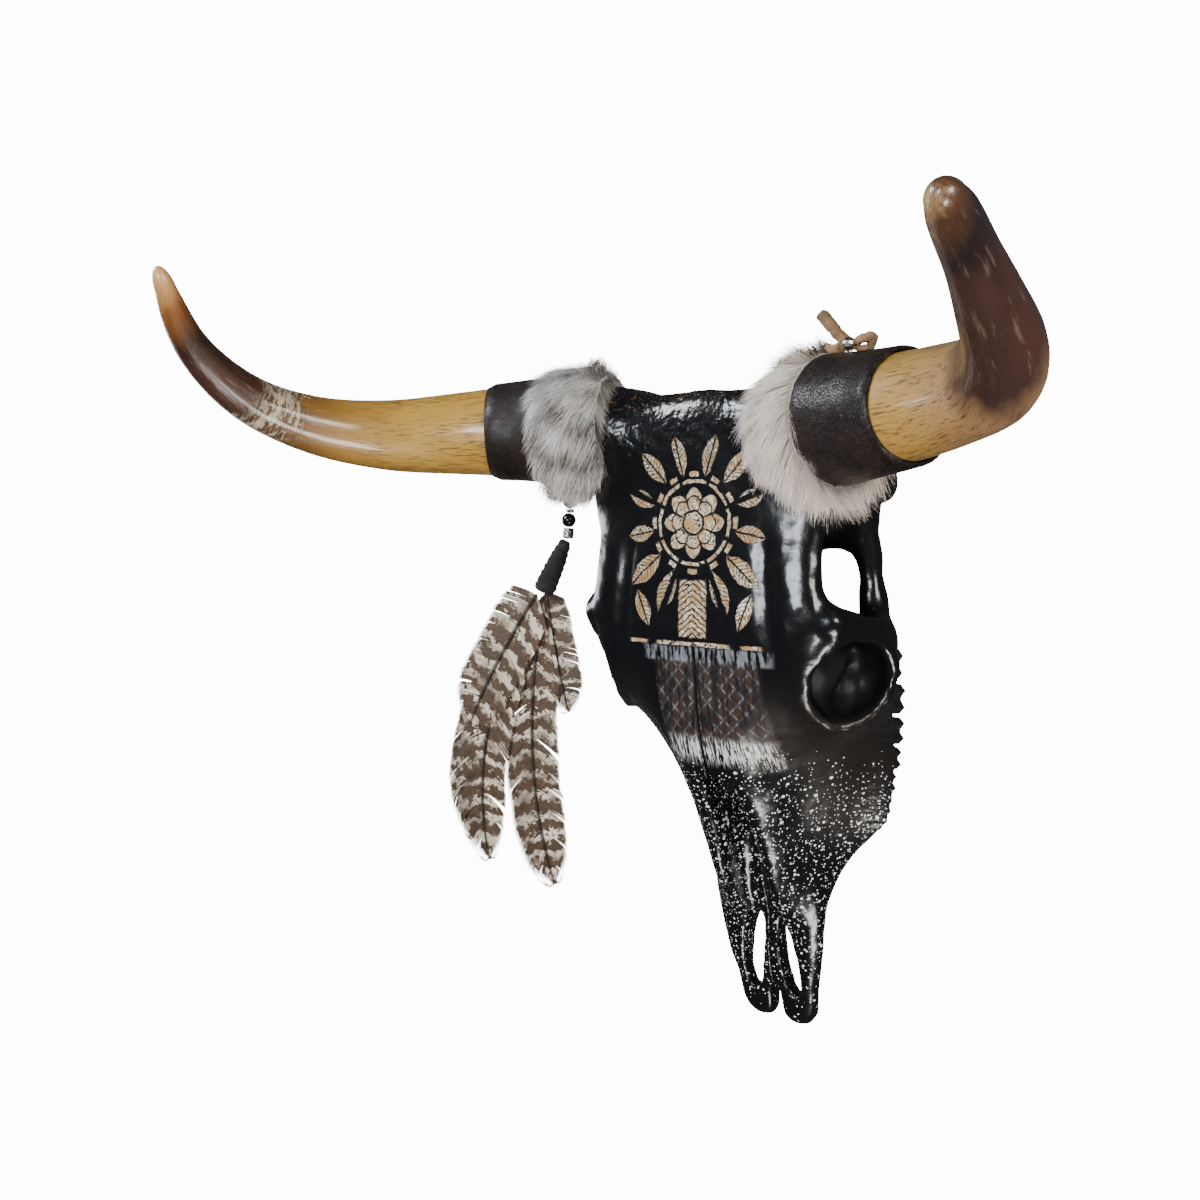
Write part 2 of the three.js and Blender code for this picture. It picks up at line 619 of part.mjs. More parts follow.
// Fur stands on the bone, so the skull's own form, moved a little each way, is cut from the collar
function collarGeometry(curve, outline, bone) {
  const geometry = ringGeometry(curve, outline, 16);
  const position = geometry.getAttribute('position');
  const axis = curve.getPointAt(0);
  for (let i = 0; i < position.count; i += 1) {
    const below = axis.y - position.getY(i);
    const far = THREE.MathUtils.smoothstep(below, HORN_BASE_RADIUS - 5, HORN_BASE_RADIUS + 10);
    position.setY(i, position.getY(i) - FUR_DROOP * far);
  }
  let fur = toSolid(flipIfInsideOut(geometry));
  for (const axisNumber of [0, 1, 2]) {
    for (const direction of [-1, 1]) {
      const step = [0, 0, 0];
      step[axisNumber] = direction * FUR_CLEARANCE;
      fur = fur.subtract(bone.translate(step));
    }
  }
  const trimmed = toSolid(simplify(toGeometry(largestBody(fur)), FUR_TRIANGLES)).subtract(bone);
  return toGeometry(largestBody(trimmed));
}

function tubeGeometry(points, radius, steps, sides) {
  const route = new THREE.CatmullRomCurve3(points.map((point) => new THREE.Vector3(...point)));
  const section = new THREE.Shape();
  for (let i = 0; i < sides; i += 1) {
    const angle = (i / sides) * Math.PI * 2;
    const corner = [radius * Math.cos(angle), radius * Math.sin(angle)];
    if (i === 0) section.moveTo(...corner);
    else section.lineTo(...corner);
  }
  section.closePath();
  return weld(new THREE.ExtrudeGeometry(section, { steps, extrudePath: route, curveSegments: 1 }));
}

function turnedGeometry(profile, sides) {
  return weld(new THREE.LatheGeometry(profile.map(([r, along]) => new THREE.Vector2(r, along)), sides));
}

// Tooth crown with two lobes on its cheek side
function toothOutline(length, width, grow) {
  const half = length / 2;
  const points = [
    [-half, width * 0.1], [-half * 0.9, width * 0.82], [-half * 0.5, width], [-half * 0.1, width * 0.84],
    [half * 0.12, width * 0.84], [half * 0.52, width * 0.99], [half * 0.9, width * 0.8], [half, width * 0.1],
    [half * 0.62, 0], [-half * 0.62, 0],
  ];
  const centre = [0, width * 0.45];
  return points.map(([along, across]) => {
    const rel = [along - centre[0], across - centre[1]];
    const stretch = 1 + grow / Math.min(half, width * 0.45);
    return new THREE.Vector2(centre[0] + rel[0] * stretch, centre[1] + rel[1] * stretch);
  });
}

function toothGeometry(length, width, grow, from, to) {
  const shape = new THREE.Shape(toothOutline(length, width, grow));
  const geometry = weld(new THREE.ExtrudeGeometry(shape, { depth: to - from, bevelEnabled: false }));
  geometry.translate(0, 0, from);
  return geometry;
}

// Arched vane with a raised shaft: width across X, length along Y
function featherGeometry(feather) {
  const [rows, columns] = [12, 2];
  const geometry = weld(new THREE.BoxGeometry(2, 1, 1, columns, rows, 1));
  const lift = (x, y) => new THREE.Vector3(x, y, 0);
  const axis = new THREE.QuadraticBezierCurve3(lift(...feather.root), lift(...feather.bend), lift(...feather.tip));
  const position = geometry.getAttribute('position');
  const axisLength = axis.getLength();
  const widthAt = (t) => {
    const rise = THREE.MathUtils.lerp(feather.rootWidth, 1, THREE.MathUtils.smoothstep(t, 0, 0.3));
    return rise * Math.sqrt(Math.max(1 - Math.max((t - 0.72) / 0.29, 0) ** 2, 0.02));
  };
  for (let i = 0; i < position.count; i += 1) {
    const t = clamp01(position.getY(i) + 0.5);
    const across = position.getX(i);
    const top = position.getZ(i) > 0;
    const point = axis.getPoint(t);
    const tangent = axis.getTangent(t);
    const reach = widthAt(t) * (across < 0 ? feather.left : feather.right);
    const arch = (1 - Math.abs(across)) * 0.9;
    const rootRise = 3.2 * (1 - THREE.MathUtils.smoothstep(t * axisLength, 0, ROOT_RISE_LENGTH));
    const z = feather.lie + arch + rootRise + (top ? FEATHER_THICKNESS : 0);
    // The left of a feather that points down the page is the side away from the skull
    position.setXYZ(i, point.x - tangent.y * -across * reach, point.y + tangent.x * -across * reach, z);
  }
  return geometry;
}

function flipIfInsideOut(geometry) {
  const position = geometry.getAttribute('position');
  const index = geometry.index;
  let volume = 0;
  const corner = (i) => new THREE.Vector3().fromBufferAttribute(position, index ? index.getX(i) : i);
  const count = index ? index.count : position.count;
  for (let i = 0; i < count; i += 3) volume += corner(i).dot(corner(i + 1).cross(corner(i + 2)));
  if (volume >= 0 || !index) return geometry;
  for (let i = 0; i < count; i += 3) {
    const kept = index.getX(i + 1);
    index.setX(i + 1, index.getX(i + 2));
    index.setX(i + 2, kept);
  }
  return geometry;
}

// Finishes
const finish = (color, roughness, metalness = 0) => new THREE.MeshStandardMaterial({ color, roughness, metalness });
const BLACK_PAINTED_BONE = finish(0x14161a, 0.28);
const HORN = finish(0xb98c4a, 0.35);
const BROWN_LEATHER = finish(0x34231d, 0.5);
const GREY_FUR = finish(0xb9b2ab, 0.9);
const CREAM_FUR = finish(0xd9cec0, 0.9);
const TAN_LEATHER = finish(0xa8865a, 0.7);
const BLACK_LEATHER = finish(0x1b1b1d, 0.8);
const BLACK_STONE = finish(0x0c0d10, 0.15);
const OLD_SILVER = finish(0xa9a59c, 0.35, 1);
const BARRED_FEATHER = finish(0x5a4735, 0.8);

// Assembly
const part = new THREE.Group();

function addPiece(name, geometry, material) {
  const mesh = new THREE.Mesh(flipIfInsideOut(geometry), material);
  mesh.name = name;
  part.add(mesh);
  return mesh;
}

const muzzleSqueeze = (y) => THREE.MathUtils.lerp(0.5, 1, THREE.MathUtils.smoothstep(y, -235, -70));
const GRID_X = gridLines(-140, 0, 140, 7, 7);
const GRID_Y = gridLines(-308, -60, 212, 5, 7);
const GRID_Z = gridLines(-8, 84, 236, 5, 6.5);

const skullNet = relax(surfaceNet(skullField, GRID_X, GRID_Y, GRID_Z, muzzleSqueeze), skullField, 4);
const wholeBone = toSolid(simplify(netGeometry(skullNet), SKULL_TRIANGLES));
let skullSolid = wholeBone;
const hornCurves = { left: hornCurve(HORN_LEFT, 1), right: hornCurve(HORN_RIGHT, -1) };

// Room for the horn bases, open towards the horns
for (const curve of Object.values(hornCurves)) {
  const room = HORN_BASE_RADIUS + 6;
  const cutter = bendAlong(
    turnedGeometry([[0, -SEAM_GAP], [room, -SEAM_GAP], [room, 40], [0, 40]], 20), curve, curve.getLength(),
  );
  skullSolid = skullSolid.subtract(toSolid(flipIfInsideOut(cutter)));
}

// Cheek teeth and their sockets
const toothPieces = [];
for (const [sideName, mirror] of [['left', 1], ['right', -1]]) {
  let start = TOOTH_ROW_START;
  TEETH.forEach(([length, width], order) => {
    const placeTooth = (geometry) => {
      geometry.scale(-1, 1, 1).rotateZ(-Math.PI / 2);
      geometry.translate(TOOTH_OUTER_X[order] - width, start + length / 2, 0);
      return flipIfInsideOut(geometry.scale(mirror, 1, 1));
    };
    const tooth = placeTooth(toothGeometry(length - 0.8, width, 0, 0, TOOTH_TOP));
    const socket = placeTooth(toothGeometry(length - 0.8, width, SEAM_GAP, -2, TOOTH_TOP + SEAM_GAP));
    skullSolid = skullSolid.subtract(toSolid(socket));
    toothPieces.push([`tooth_${sideName}_${order + 1}`, tooth]);
    start += length;
  });
}

addPiece('skull', toGeometry(skullSolid), BLACK_PAINTED_BONE);
for (const [name, geometry] of toothPieces) addPiece(name, geometry, BLACK_PAINTED_BONE);

// Horns with their leather sleeves and fur collars
for (const [sideName, curve] of Object.entries(hornCurves)) {
  addPiece(`horn_${sideName}`, hornGeometry(curve), HORN);
  addPiece(`leather_sleeve_${sideName}`, sleeveGeometry(curve), BROWN_LEATHER);
}

const underSleeve = [
  [HORN_BASE_RADIUS + 1, 7], [HORN_BASE_RADIUS + 3.4, 7], [46.5, -4], [46, -16], [41, -34],
  [30, -34], [30, -1.2], [HORN_BASE_RADIUS + 1, -1.2],
];
const overSleeve = [
  [sleeveRadius(hornCurves.right, 33, 4.6), 33], [sleeveRadius(hornCurves.right, 33, 6.2), 34], [46, 16], [46, 2],
  [40, -14], [30, -16], [30, -1.2], [HORN_BASE_RADIUS + 4.6, -1.2], [HORN_BASE_RADIUS + 4.6, 9],
];
addPiece('fur_collar_left', collarGeometry(hornCurves.left, underSleeve, wholeBone), CREAM_FUR);
addPiece('fur_collar_right', collarGeometry(hornCurves.right, overSleeve, wholeBone), GREY_FUR);

// Lace, beads and wrap of the feather bundle
addPiece('hanger_lace', tubeGeometry(HANGER_ROUTE, LACE_RADIUS, 30, 6), TAN_LEATHER);

const beadProfile = [];
for (let i = 0; i <= 7; i += 1) {
  const angle = (i / 7) * Math.PI;
  beadProfile.push([BEAD_RADIUS * Math.sin(angle), -BEAD_RADIUS * Math.cos(angle)]);
}
const strung = [
  ['bead_upper', beadProfile, [-281, 133], BEAD_RADIUS, BLACK_STONE, 12],
  ['bead_spacer', [[0, -1.7], [3.4, -1.7], [4.4, 0], [3.4, 1.7], [0, 1.7]], [-281, 123.8], 6.2, OLD_SILVER, 10],
  ['bead_lower', beadProfile, [-281, 114.6], BEAD_RADIUS, BLACK_STONE, 12],
  ['silver_barrel', [[0, -5], [4.6, -5], [5.6, -3.6], [5.6, 3.6], [4.6, 5], [0, 5]], [-281, 101.8], 6.2,
    OLD_SILVER, 12],
];
for (const [name, profile, [x, y], height, material, sides] of strung) {
  addPiece(name, turnedGeometry(profile, sides).translate(x, y, height), material);
}

const wrapCurve = new THREE.LineCurve3(new THREE.Vector3(-281.5, 94, 8.5), new THREE.Vector3(-303, 43.5, 11.5));
const wrapProfile = [[0, 0], [5, 0], [6.5, 4], [9, 20], [10.2, 36], [11, 50], [9.5, wrapCurve.getLength()],
  [0, wrapCurve.getLength()]];
addPiece('quill_wrap', bendAlong(turnedGeometry(wrapProfile, 12), wrapCurve, wrapCurve.getLength()), BLACK_LEATHER);

FEATHERS.forEach((feather, order) => {
  addPiece(`feather_${order + 1}`, featherGeometry(feather), BARRED_FEATHER);
});

// Lace knot with a bead on top of the left collar
const knot = [111, 208, 206];
const tieRoute = [
  [knot[0] + 12, knot[1] - 2, knot[2] - 12], [knot[0] + 3, knot[1] + 2, knot[2] - 3],
  [knot[0] - 4, knot[1] + 10, knot[2] + 2], [knot[0] - 12, knot[1] + 16, knot[2] + 4],
];
addPiece('tie_lace', tubeGeometry(tieRoute, 3, 8, 8), TAN_LEATHER);
addPiece('tie_bead', turnedGeometry(beadProfile.map(([r, h]) => [r * 0.6, h * 0.6]), 10)
  .translate(knot[0] + 4, knot[1] + 1, knot[2] + 6), OLD_SILVER);

// Origin under the middle of the whole piece
const bounds = new THREE.Box3().setFromObject(part);
const middle = bounds.getCenter(new THREE.Vector3());
part.position.set(-middle.x, -middle.y, -bounds.min.z);
part.updateMatrixWorld(true);

export default part;
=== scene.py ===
"""Painted longhorn skull with sleeves, fur collars and a bundle of barred feathers, lying on a white surface."""

import json
import logging
import math
import random
from dataclasses import dataclass, field
from enum import Enum
from typing import Callable, Iterable, Optional, Sequence, Union

import bmesh
import bpy
import numpy as np
from mathutils import Matrix, Vector, noise

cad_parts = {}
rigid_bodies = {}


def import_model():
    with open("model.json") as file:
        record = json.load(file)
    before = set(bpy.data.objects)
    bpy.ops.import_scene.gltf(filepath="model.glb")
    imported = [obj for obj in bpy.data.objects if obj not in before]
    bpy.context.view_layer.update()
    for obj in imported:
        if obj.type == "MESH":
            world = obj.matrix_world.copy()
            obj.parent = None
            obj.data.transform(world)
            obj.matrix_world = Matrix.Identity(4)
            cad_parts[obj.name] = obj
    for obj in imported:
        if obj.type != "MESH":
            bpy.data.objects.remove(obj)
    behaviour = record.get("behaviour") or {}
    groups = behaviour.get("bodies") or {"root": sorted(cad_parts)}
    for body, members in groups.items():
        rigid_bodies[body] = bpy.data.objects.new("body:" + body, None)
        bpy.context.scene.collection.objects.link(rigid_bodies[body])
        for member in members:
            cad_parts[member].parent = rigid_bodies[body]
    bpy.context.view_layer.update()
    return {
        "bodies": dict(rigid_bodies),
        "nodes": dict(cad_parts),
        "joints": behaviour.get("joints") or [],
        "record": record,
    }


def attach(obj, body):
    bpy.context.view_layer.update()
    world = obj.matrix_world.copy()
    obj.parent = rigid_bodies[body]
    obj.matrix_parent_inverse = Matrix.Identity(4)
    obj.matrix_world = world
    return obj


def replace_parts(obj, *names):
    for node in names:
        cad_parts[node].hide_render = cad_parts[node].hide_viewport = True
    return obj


logging.basicConfig(level=logging.INFO, format="%(message)s")
LOG = logging.getLogger("longhorn")

Number = Union[float, "Socket"]
Values = Union[float, np.ndarray]

MM = 0.001
# Way from the part's own frame to the row frame, in metres
SHIFT = Vector((0.0646995, 0.0287762, 0.0))
# How far out the horns bend upward, and the middle and axis of the left eye socket, in the part's millimetres
HORN_BEND = 265.0
ORBIT = (103.0, -13.0, 153.0)
ORBIT_AXIS = tuple(Vector((0.79, -0.335, 0.515)).normalized())


def placed(x: float, y: float, z: float) -> Vector:
    """A point of the part's own millimetre frame, in metres in the row frame."""
    return Vector((x, y, z)) * MM + SHIFT


def smooth_step(values: Values, low: float, high: float) -> Values:
    """Eased 0 to 1 as one value, or each value of an array, goes from low to high."""
    t = np.clip((values - low) / (high - low), 0, 1)
    return t * t * (3 - 2 * t)


# Shader graph


class Socket:
    """One value of a material, which Python's operators carry on as Math nodes."""

    def __init__(self, graph: "Graph", output: bpy.types.NodeSocket) -> None:
        """Keeps the graph and the output that the value comes from."""
        self.graph = graph
        self.output = output

    def _math(self, operation: str, first: Number, second: Number) -> "Socket":
        """Adds one Math node with two values."""
        return self.graph.node("ShaderNodeMath", {"operation": operation}, {0: first, 1: second})

    def __add__(self, other: Number) -> "Socket":
        """self + other."""
        return self._math("ADD", self, other)

    __radd__ = __add__

    def __sub__(self, other: Number) -> "Socket":
        """self - other."""
        return self._math("SUBTRACT", self, other)

    def __rsub__(self, other: Number) -> "Socket":
        """other - self."""
        return self._math("SUBTRACT", other, self)

    def __mul__(self, other: Number) -> "Socket":
        """self * other."""
        return self._math("MULTIPLY", self, other)

    __rmul__ = __mul__

    def __truediv__(self, other: Number) -> "Socket":
        """self / other."""
        return self._math("DIVIDE", self, other)

    def __abs__(self) -> "Socket":
        """Size without sign."""
        return self._math("ABSOLUTE", self, 0.0)

    def call(self, operation: str, other: Number = 0.0) -> "Socket":
        """Any other Math operation, such as SINE, MAXIMUM or ARCTAN2."""
        return self._math(operation, self, other)

    def step(self, low: float, high: float) -> "Socket":
        """Eased 0 to 1 between two values; low may be the larger one, for 1 to 0."""
        flip = low > high
        ends = (high, low) if flip else (low, high)
        return self.graph.node(
            "ShaderNodeMapRange",
            {"interpolation_type": "SMOOTHSTEP"},
            {"Value": self, "From Min": ends[0], "From Max": ends[1],
             "To Min": 1.0 if flip else 0.0, "To Max": 0.0 if flip else 1.0},
        )


class Graph:
    """Node tree of one material."""

    def __init__(self, name: str) -> None:
        """Makes an empty material of that name."""
        self.material = bpy.data.materials.new(name)
        self.material.use_nodes = True
        self.tree = self.material.node_tree
        self.tree.nodes.clear()

    def node(self, kind: str, settings: Optional[dict] = None, values: Optional[dict] = None,
             output: Union[int, str] = 0) -> Socket:
        """Adds a node.

        Args:
            kind: the node's type.
            settings: its properties, set first; "stops" are a ramp's places and colours.
            values: numbers, colours or sockets for its inputs.
            output: the output that is wanted.

        Returns:
            The chosen output.
        """
        made = self.tree.nodes.new(kind)
        for key, value in (settings or {}).items():
            if key == "stops":
                self._set_stops(made.color_ramp, value)
            else:
                setattr(made, key, value)
        for key, value in (values or {}).items():
            if isinstance(value, Socket):
                self.tree.links.new(value.output, made.inputs[key])
            else:
                made.inputs[key].default_value = value
        return Socket(self, made.outputs[output])

    @staticmethod
    def _set_stops(ramp: bpy.types.ColorRamp, stops: Sequence[tuple]) -> None:
        """Gives a ramp its places and colours."""
        while len(ramp.elements) < len(stops):
            ramp.elements.new(0.5)
        for element, (place, colour) in zip(ramp.elements, stops):
            element.position = place
            element.color = (*colour, 1.0)

    def mix(self, factor: Number, first: Union[Socket, tuple], second: Union[Socket, tuple]) -> Socket:
        """Blend of two colours."""
        full = [c if isinstance(c, Socket) else (*c, 1.0) for c in (first, second)]
        return self.node("ShaderNodeMix", {"data_type": "RGBA"}, {0: factor, 6: full[0], 7: full[1]}, 2)

    def shaded(self, colour: Socket, chance: Socket, dark: tuple) -> Socket:
        """Colour times a shade, which goes from dark to white as chance goes from 0 to 1."""
        shade = self.mix(chance, dark, (1.0, 1.0, 1.0))
        return self.node("ShaderNodeMix", {"data_type": "RGBA", "blend_type": "MULTIPLY"},
                         {0: 1.0, 6: colour, 7: shade}, 2)

    def ramp(self, factor: Socket, stops: Sequence[tuple]) -> Socket:
        """Colour ramp over a value."""
        return self.node("ShaderNodeValToRGB", {"stops": stops}, {0: factor})

    def noise(self, vector: Socket, scale: float, detail: float = 3.0, rough: float = 0.5) -> Socket:
        """Noise value around 0.5."""
        return self.node("ShaderNodeTexNoise", {}, {"Vector": vector, "Scale": scale, "Detail": detail,
                                                    "Roughness": rough})

    def scaled(self, vector: Socket, scale: tuple, shift: tuple = (0, 0, 0)) -> Socket:
        """Vector times a scale, plus a shift."""
        return self.node("ShaderNodeMapping", {}, {"Vector": vector, "Scale": scale, "Location": shift})

    def parts(self, vector: Socket) -> tuple:
        """X, Y and Z of a vector."""
        made = self.tree.nodes.new("ShaderNodeSeparateXYZ")
        self.tree.links.new(vector.output, made.inputs[0])
        return tuple(Socket(self, made.outputs[i]) for i in range(3))

    def object_place(self) -> Socket:
        """Object coordinates in millimetres, in the part's own frame."""
        place = self.node("ShaderNodeTexCoord", {}, {}, "Object")
        return self.scaled(place, (1000, 1000, 1000), tuple(-v * 1000 for v in SHIFT))

    def attribute(self, name: str) -> Socket:
        """Vector attribute of the mesh."""
        return self.node("ShaderNodeAttribute", {"attribute_name": name}, {}, "Vector")

    def bump(self, height: Socket, depth: float, under: Optional[Socket] = None) -> Socket:
        """Bumped normal; depth in metres."""
        values = {"Strength": 1.0, "Distance": depth, "Height": height}
        if under is not None:
            values["Normal"] = under
        return self.node("ShaderNodeBump", {}, values)

    def end(self, surface: Socket) -> None:
        """Ends the graph in a surface."""
        made = self.tree.nodes.new("ShaderNodeOutputMaterial")
        self.tree.links.new(surface.output, made.inputs["Surface"])

    def surface(self, **values: Union[Number, tuple]) -> Socket:
        """Returns a Principled surface; an underscore in a name stands for a space."""
        inputs = {}
        for key, value in values.items():
            name = " ".join(w if w == "IOR" else w.capitalize() for w in key.replace("ior", "IOR").split("_"))
            inputs[name] = (*value, 1.0) if isinstance(value, tuple) else value
        return self.node("ShaderNodeBsdfPrincipled", {}, inputs)

    def finish(self, **values: Union[Number, tuple]) -> bpy.types.Material:
        """Ends the graph in one Principled surface."""
        self.end(self.surface(**values))
        return self.material


class Side(Enum):
    """The skull's own left and right."""

    LEFT = 1
    RIGHT = -1

    @property
    def word(self) -> str:
        """Name used in the CAD nodes."""
        return self.name.lower()


# Finishes


@dataclass(frozen=True)
class PaintedBone:
    """Gloss black paint with an engraved, tinted design on the forehead and white splatter on the muzzle."""

    black: tuple = (0.0035, 0.0037, 0.0045)
    ivory: tuple = (0.66, 0.54, 0.36)
    ochre: tuple = (0.36, 0.20, 0.075)
    splatter: tuple = (0.84, 0.86, 0.88)
    rosette_y: float = 92.0
    rosette_radius: float = 25.0
    petal_depth: float = 7.5
    band_x: float = 10.0
    band_half: float = 46.0
    band_top: float = -2.0
    band_bottom: float = -74.0
    lattice_turn: float = 0.27
    # Painted warm sheen: a browner black on the cheeks
    cheek_painted_sheen: tuple = (0.013, 0.010, 0.008)
    # Painted shade of the deep eye sockets: a darker black
    socket_painted_shade: tuple = (0.0014, 0.0014, 0.0016)
    # Each leaf's middle measured from the rosette's, angle in degrees, half length and half width
    leaves: tuple = (
        (13.5, 47.0, 74, 15, 6.5), (35.0, 39.0, 47, 15, 6.5), (46.0, 17.0, 20, 12, 6.0), (46.5, -8.0, -10, 12, 6.0),
        (41.0, -34.0, -40, 17, 7.5), (22.5, -49.0, -66, 17, 7.0), (43.0, -62.0, -112, 14, 6.0),
    )
    # Grain of the splatter and share of the cells that hold a fleck, from coarse to fine
    fleck_sizes: tuple = ((0.42, 0.80), (0.30, 0.62), (0.19, 0.40))

    def leaf(self, x: Socket, y: Socket, centre: tuple, angle: float, length: float, width: float) -> tuple:
        """One pointed leaf with a midrib.

        Args:
            x: place across, made positive on both sides.
            y: place along the skull.
            centre: middle of the leaf.
            angle: direction of its tip in degrees from +X.
            length: half length.
            width: half width.

        Returns:
            The leaf's mask and its cut lines.
        """
        cos, sin = math.cos(math.radians(angle)), math.sin(math.radians(angle))
        dx, dy = x - centre[0], y - centre[1]
        along = dx * cos + dy * sin
        across = dy * cos - dx * sin
        room = (1.0 - (along / length) * (along / length)) * width
        mask = (room - abs(across)).step(-0.3, 0.5)
        rib = abs(across).step(1.0, 0.4)
        veins = ((along - abs(across) * 0.8) * 1.9).call("SINE").step(0.45, 0.8)
        return mask, rib.call("MAXIMUM", veins * 0.75)

    def design(self, x: Socket, y: Socket, wobble: Socket) -> tuple:
        """Rosette, sunburst of leaves and pendant chevrons.

        Args:
            x: place across.
            y: place along.
            wobble: small noise that makes the cut lines uneven.

        Returns:
            Mask of the pale parts and mask of the cut lines in them.
        """
        side = abs(x) + wobble
        place = y + wobble
        dy = place - self.rosette_y
        radius = (side * side + dy * dy).call("SQRT")
        turn = dy.call("ARCTAN2", side)
        petal = abs((turn * 4.0).call("COSINE"))
        edge = petal * self.petal_depth + (self.rosette_radius - self.petal_depth)
        pale = (edge - radius).step(-0.4, 0.6)
        cut = petal.step(0.30, 0.12) * radius.step(8.0, 10.0)
        cut = cut.call("MAXIMUM", abs(radius - 8.5).step(1.2, 0.5))
        cut = cut.call("MAXIMUM", abs(radius - 15.5 - petal * 3.0).step(0.9, 0.35))
        ring = abs(radius - 29.5).step(1.5, 0.9)
        dots = ((turn * 12.0).call("COSINE")).step(0.0, 0.5) * abs(radius - 34.5).step(2.1, 1.3)
        pale = pale.call("MAXIMUM", ring).call("MAXIMUM", dots)
        for across, up, angle, length, width in self.leaves:
            mask, lines = self.leaf(side, place, (across, self.rosette_y + up), angle, length, width)
            pale = pale.call("MAXIMUM", mask)
            cut = cut.call("MAXIMUM", lines * mask)
        chevron = place + side * 0.75
        stripe = abs(((chevron * (math.tau / 9.0)).call("SINE"))).step(0.25, 0.5)
        zone = side.step(12.0, 10.5) * place.step(10.0, 12.0) * (place - self.rosette_y).step(-40.0, -42.0)
        pale = pale.call("MAXIMUM", zone * stripe)
        base = abs(place - 6.0).step(1.7, 1.0) * side.step(58.0, 52.0)
        return pale.call("MAXIMUM", base), cut

    def material(self) -> bpy.types.Material:
        """Returns the skull's material."""
        graph = Graph("black_painted_bone")
        place = graph.object_place()
        x, y, z = graph.parts(place)
        coarse = graph.noise(place, 0.035, 3)
        medium = graph.noise(place, 0.12, 3)
        fine = graph.noise(place, 0.55, 2)
        wobble = (graph.noise(place, 0.20, 2) - 0.5) * 2.2
        top = z.step(150.0, 165.0)
        pale, cut = self.design(x, y, wobble)
        worn = (fine * 0.6 + medium * 0.4).step(0.36, 0.50)
        pale = pale * top * (1.0 - cut) * worn
        tint = graph.mix((medium * 1.6 - 0.25).step(0.3, 0.75), self.ivory, self.ochre)
        tint = graph.mix((coarse + fine - 0.5).step(0.62, 0.8), tint, (0.80, 0.73, 0.60))
        colour = graph.mix(pale, self.black, tint)

        # Painted band below the engraved design
        centre = abs(x - self.band_x)
        band = centre.step(self.band_half, self.band_half - 6.0) * y.step(self.band_top, self.band_top - 6.0)
        band = band * y.step(self.band_bottom, self.band_bottom + 8.0)
        stroke = graph.noise(graph.scaled(place, (0.30, 0.055, 0.055)), 1.0, 3, 0.6)
        rising, falling = (abs((slope * self.lattice_turn).call("SINE"))
                           for slope in (x - self.band_x + y, x - self.band_x - y))
        lattice = rising.call("MINIMUM", falling)
        lozenge = lattice.step(0.16, 0.30)
        brown = graph.mix((stroke * 1.4 - 0.2).step(0.25, 0.7), (0.008, 0.006, 0.006), (0.044, 0.027, 0.020))
        grey = graph.mix(stroke.step(0.4, 0.7), (0.018, 0.019, 0.022), (0.17, 0.17, 0.18))
        painted = graph.mix(lozenge, grey, brown)
        colour = graph.mix(band * (0.35 + 0.6 * stroke.step(0.25, 0.55)), colour, painted)
        wash = centre.step(56.0, 48.0) * abs(y + 1.5).step(6.5, 4.0) * stroke.step(0.44, 0.60)
        colour = graph.mix(wash * 0.7, colour, (0.24, 0.25, 0.27))
        blades = graph.noise(graph.scaled(place, (0.9, 0.10, 0.10)), 1.0, 2)
        fringe = centre.step(44.0, 38.0) * y.step(-58.0, -66.0) * y.step(-84.0, -72.0) * blades.step(0.47, 0.55)
        colour = graph.mix(fringe * 0.9, colour, (0.66, 0.66, 0.64))

        # Splatter over the muzzle
        reach = y.step(-58.0, -112.0) * y.step(-305.0, -225.0)
        flecks = None
        for size, share in self.fleck_sizes:
            cells = graph.node("ShaderNodeTexVoronoi", {}, {"Vector": place, "Scale": size}, "Distance")
            dice = graph.node("ShaderNodeTexVoronoi", {}, {"Vector": place, "Scale": size}, "Color")
            pick, swell, _ = graph.parts(dice)
            spot = (cells - swell * 0.27).step(0.10, 0.03) * (reach * share - pick).step(0.0, 0.02)
            flecks = spot if flecks is None else flecks.call("MAXIMUM", spot)
        colour = graph.mix(flecks * 0.92, colour, self.splatter)

        # Seam of the bones along the middle
        seam = abs(x + wobble * 0.8).step(1.9, 0.7) * y.step(12.0, 4.0) * top.call("MAXIMUM", y.step(0.0, -10.0))
        colour = graph.mix(seam, colour, (0.002, 0.002, 0.002))
        worn_edge = (y - 168.0).step(0.0, 8.0) * z.step(190.0, 205.0) * fine.step(0.60, 0.68) * 0.5
        colour = graph.mix(worn_edge, colour, (0.20, 0.12, 0.05))

        # Painted shade inside the deep eye sockets: a darker black with weaker reflections. Painted warm sheen on
        # the cheeks: a browner, duller black
        offset = [abs(x) - ORBIT[0], y - ORBIT[1], z - ORBIT[2]]
        out = sum(v * w for v, w in zip(offset, ORBIT_AXIS))
        flat = (offset[0] * offset[0] + offset[1] * offset[1] + offset[2] * offset[2] - out * out).call("SQRT")
        cup = flat.step(33.0, 26.0) * out.step(0.0, -9.0)
        cheek = y.step(-5.0, -45.0) * y.step(-165.0, -120.0) * abs(x).step(38.0, 62.0) * (1.0 - cup)
        colour = graph.mix(cheek * 0.7 * (1.0 - flecks), colour, self.cheek_painted_sheen)
        colour = graph.mix(cup, colour, self.socket_painted_shade)

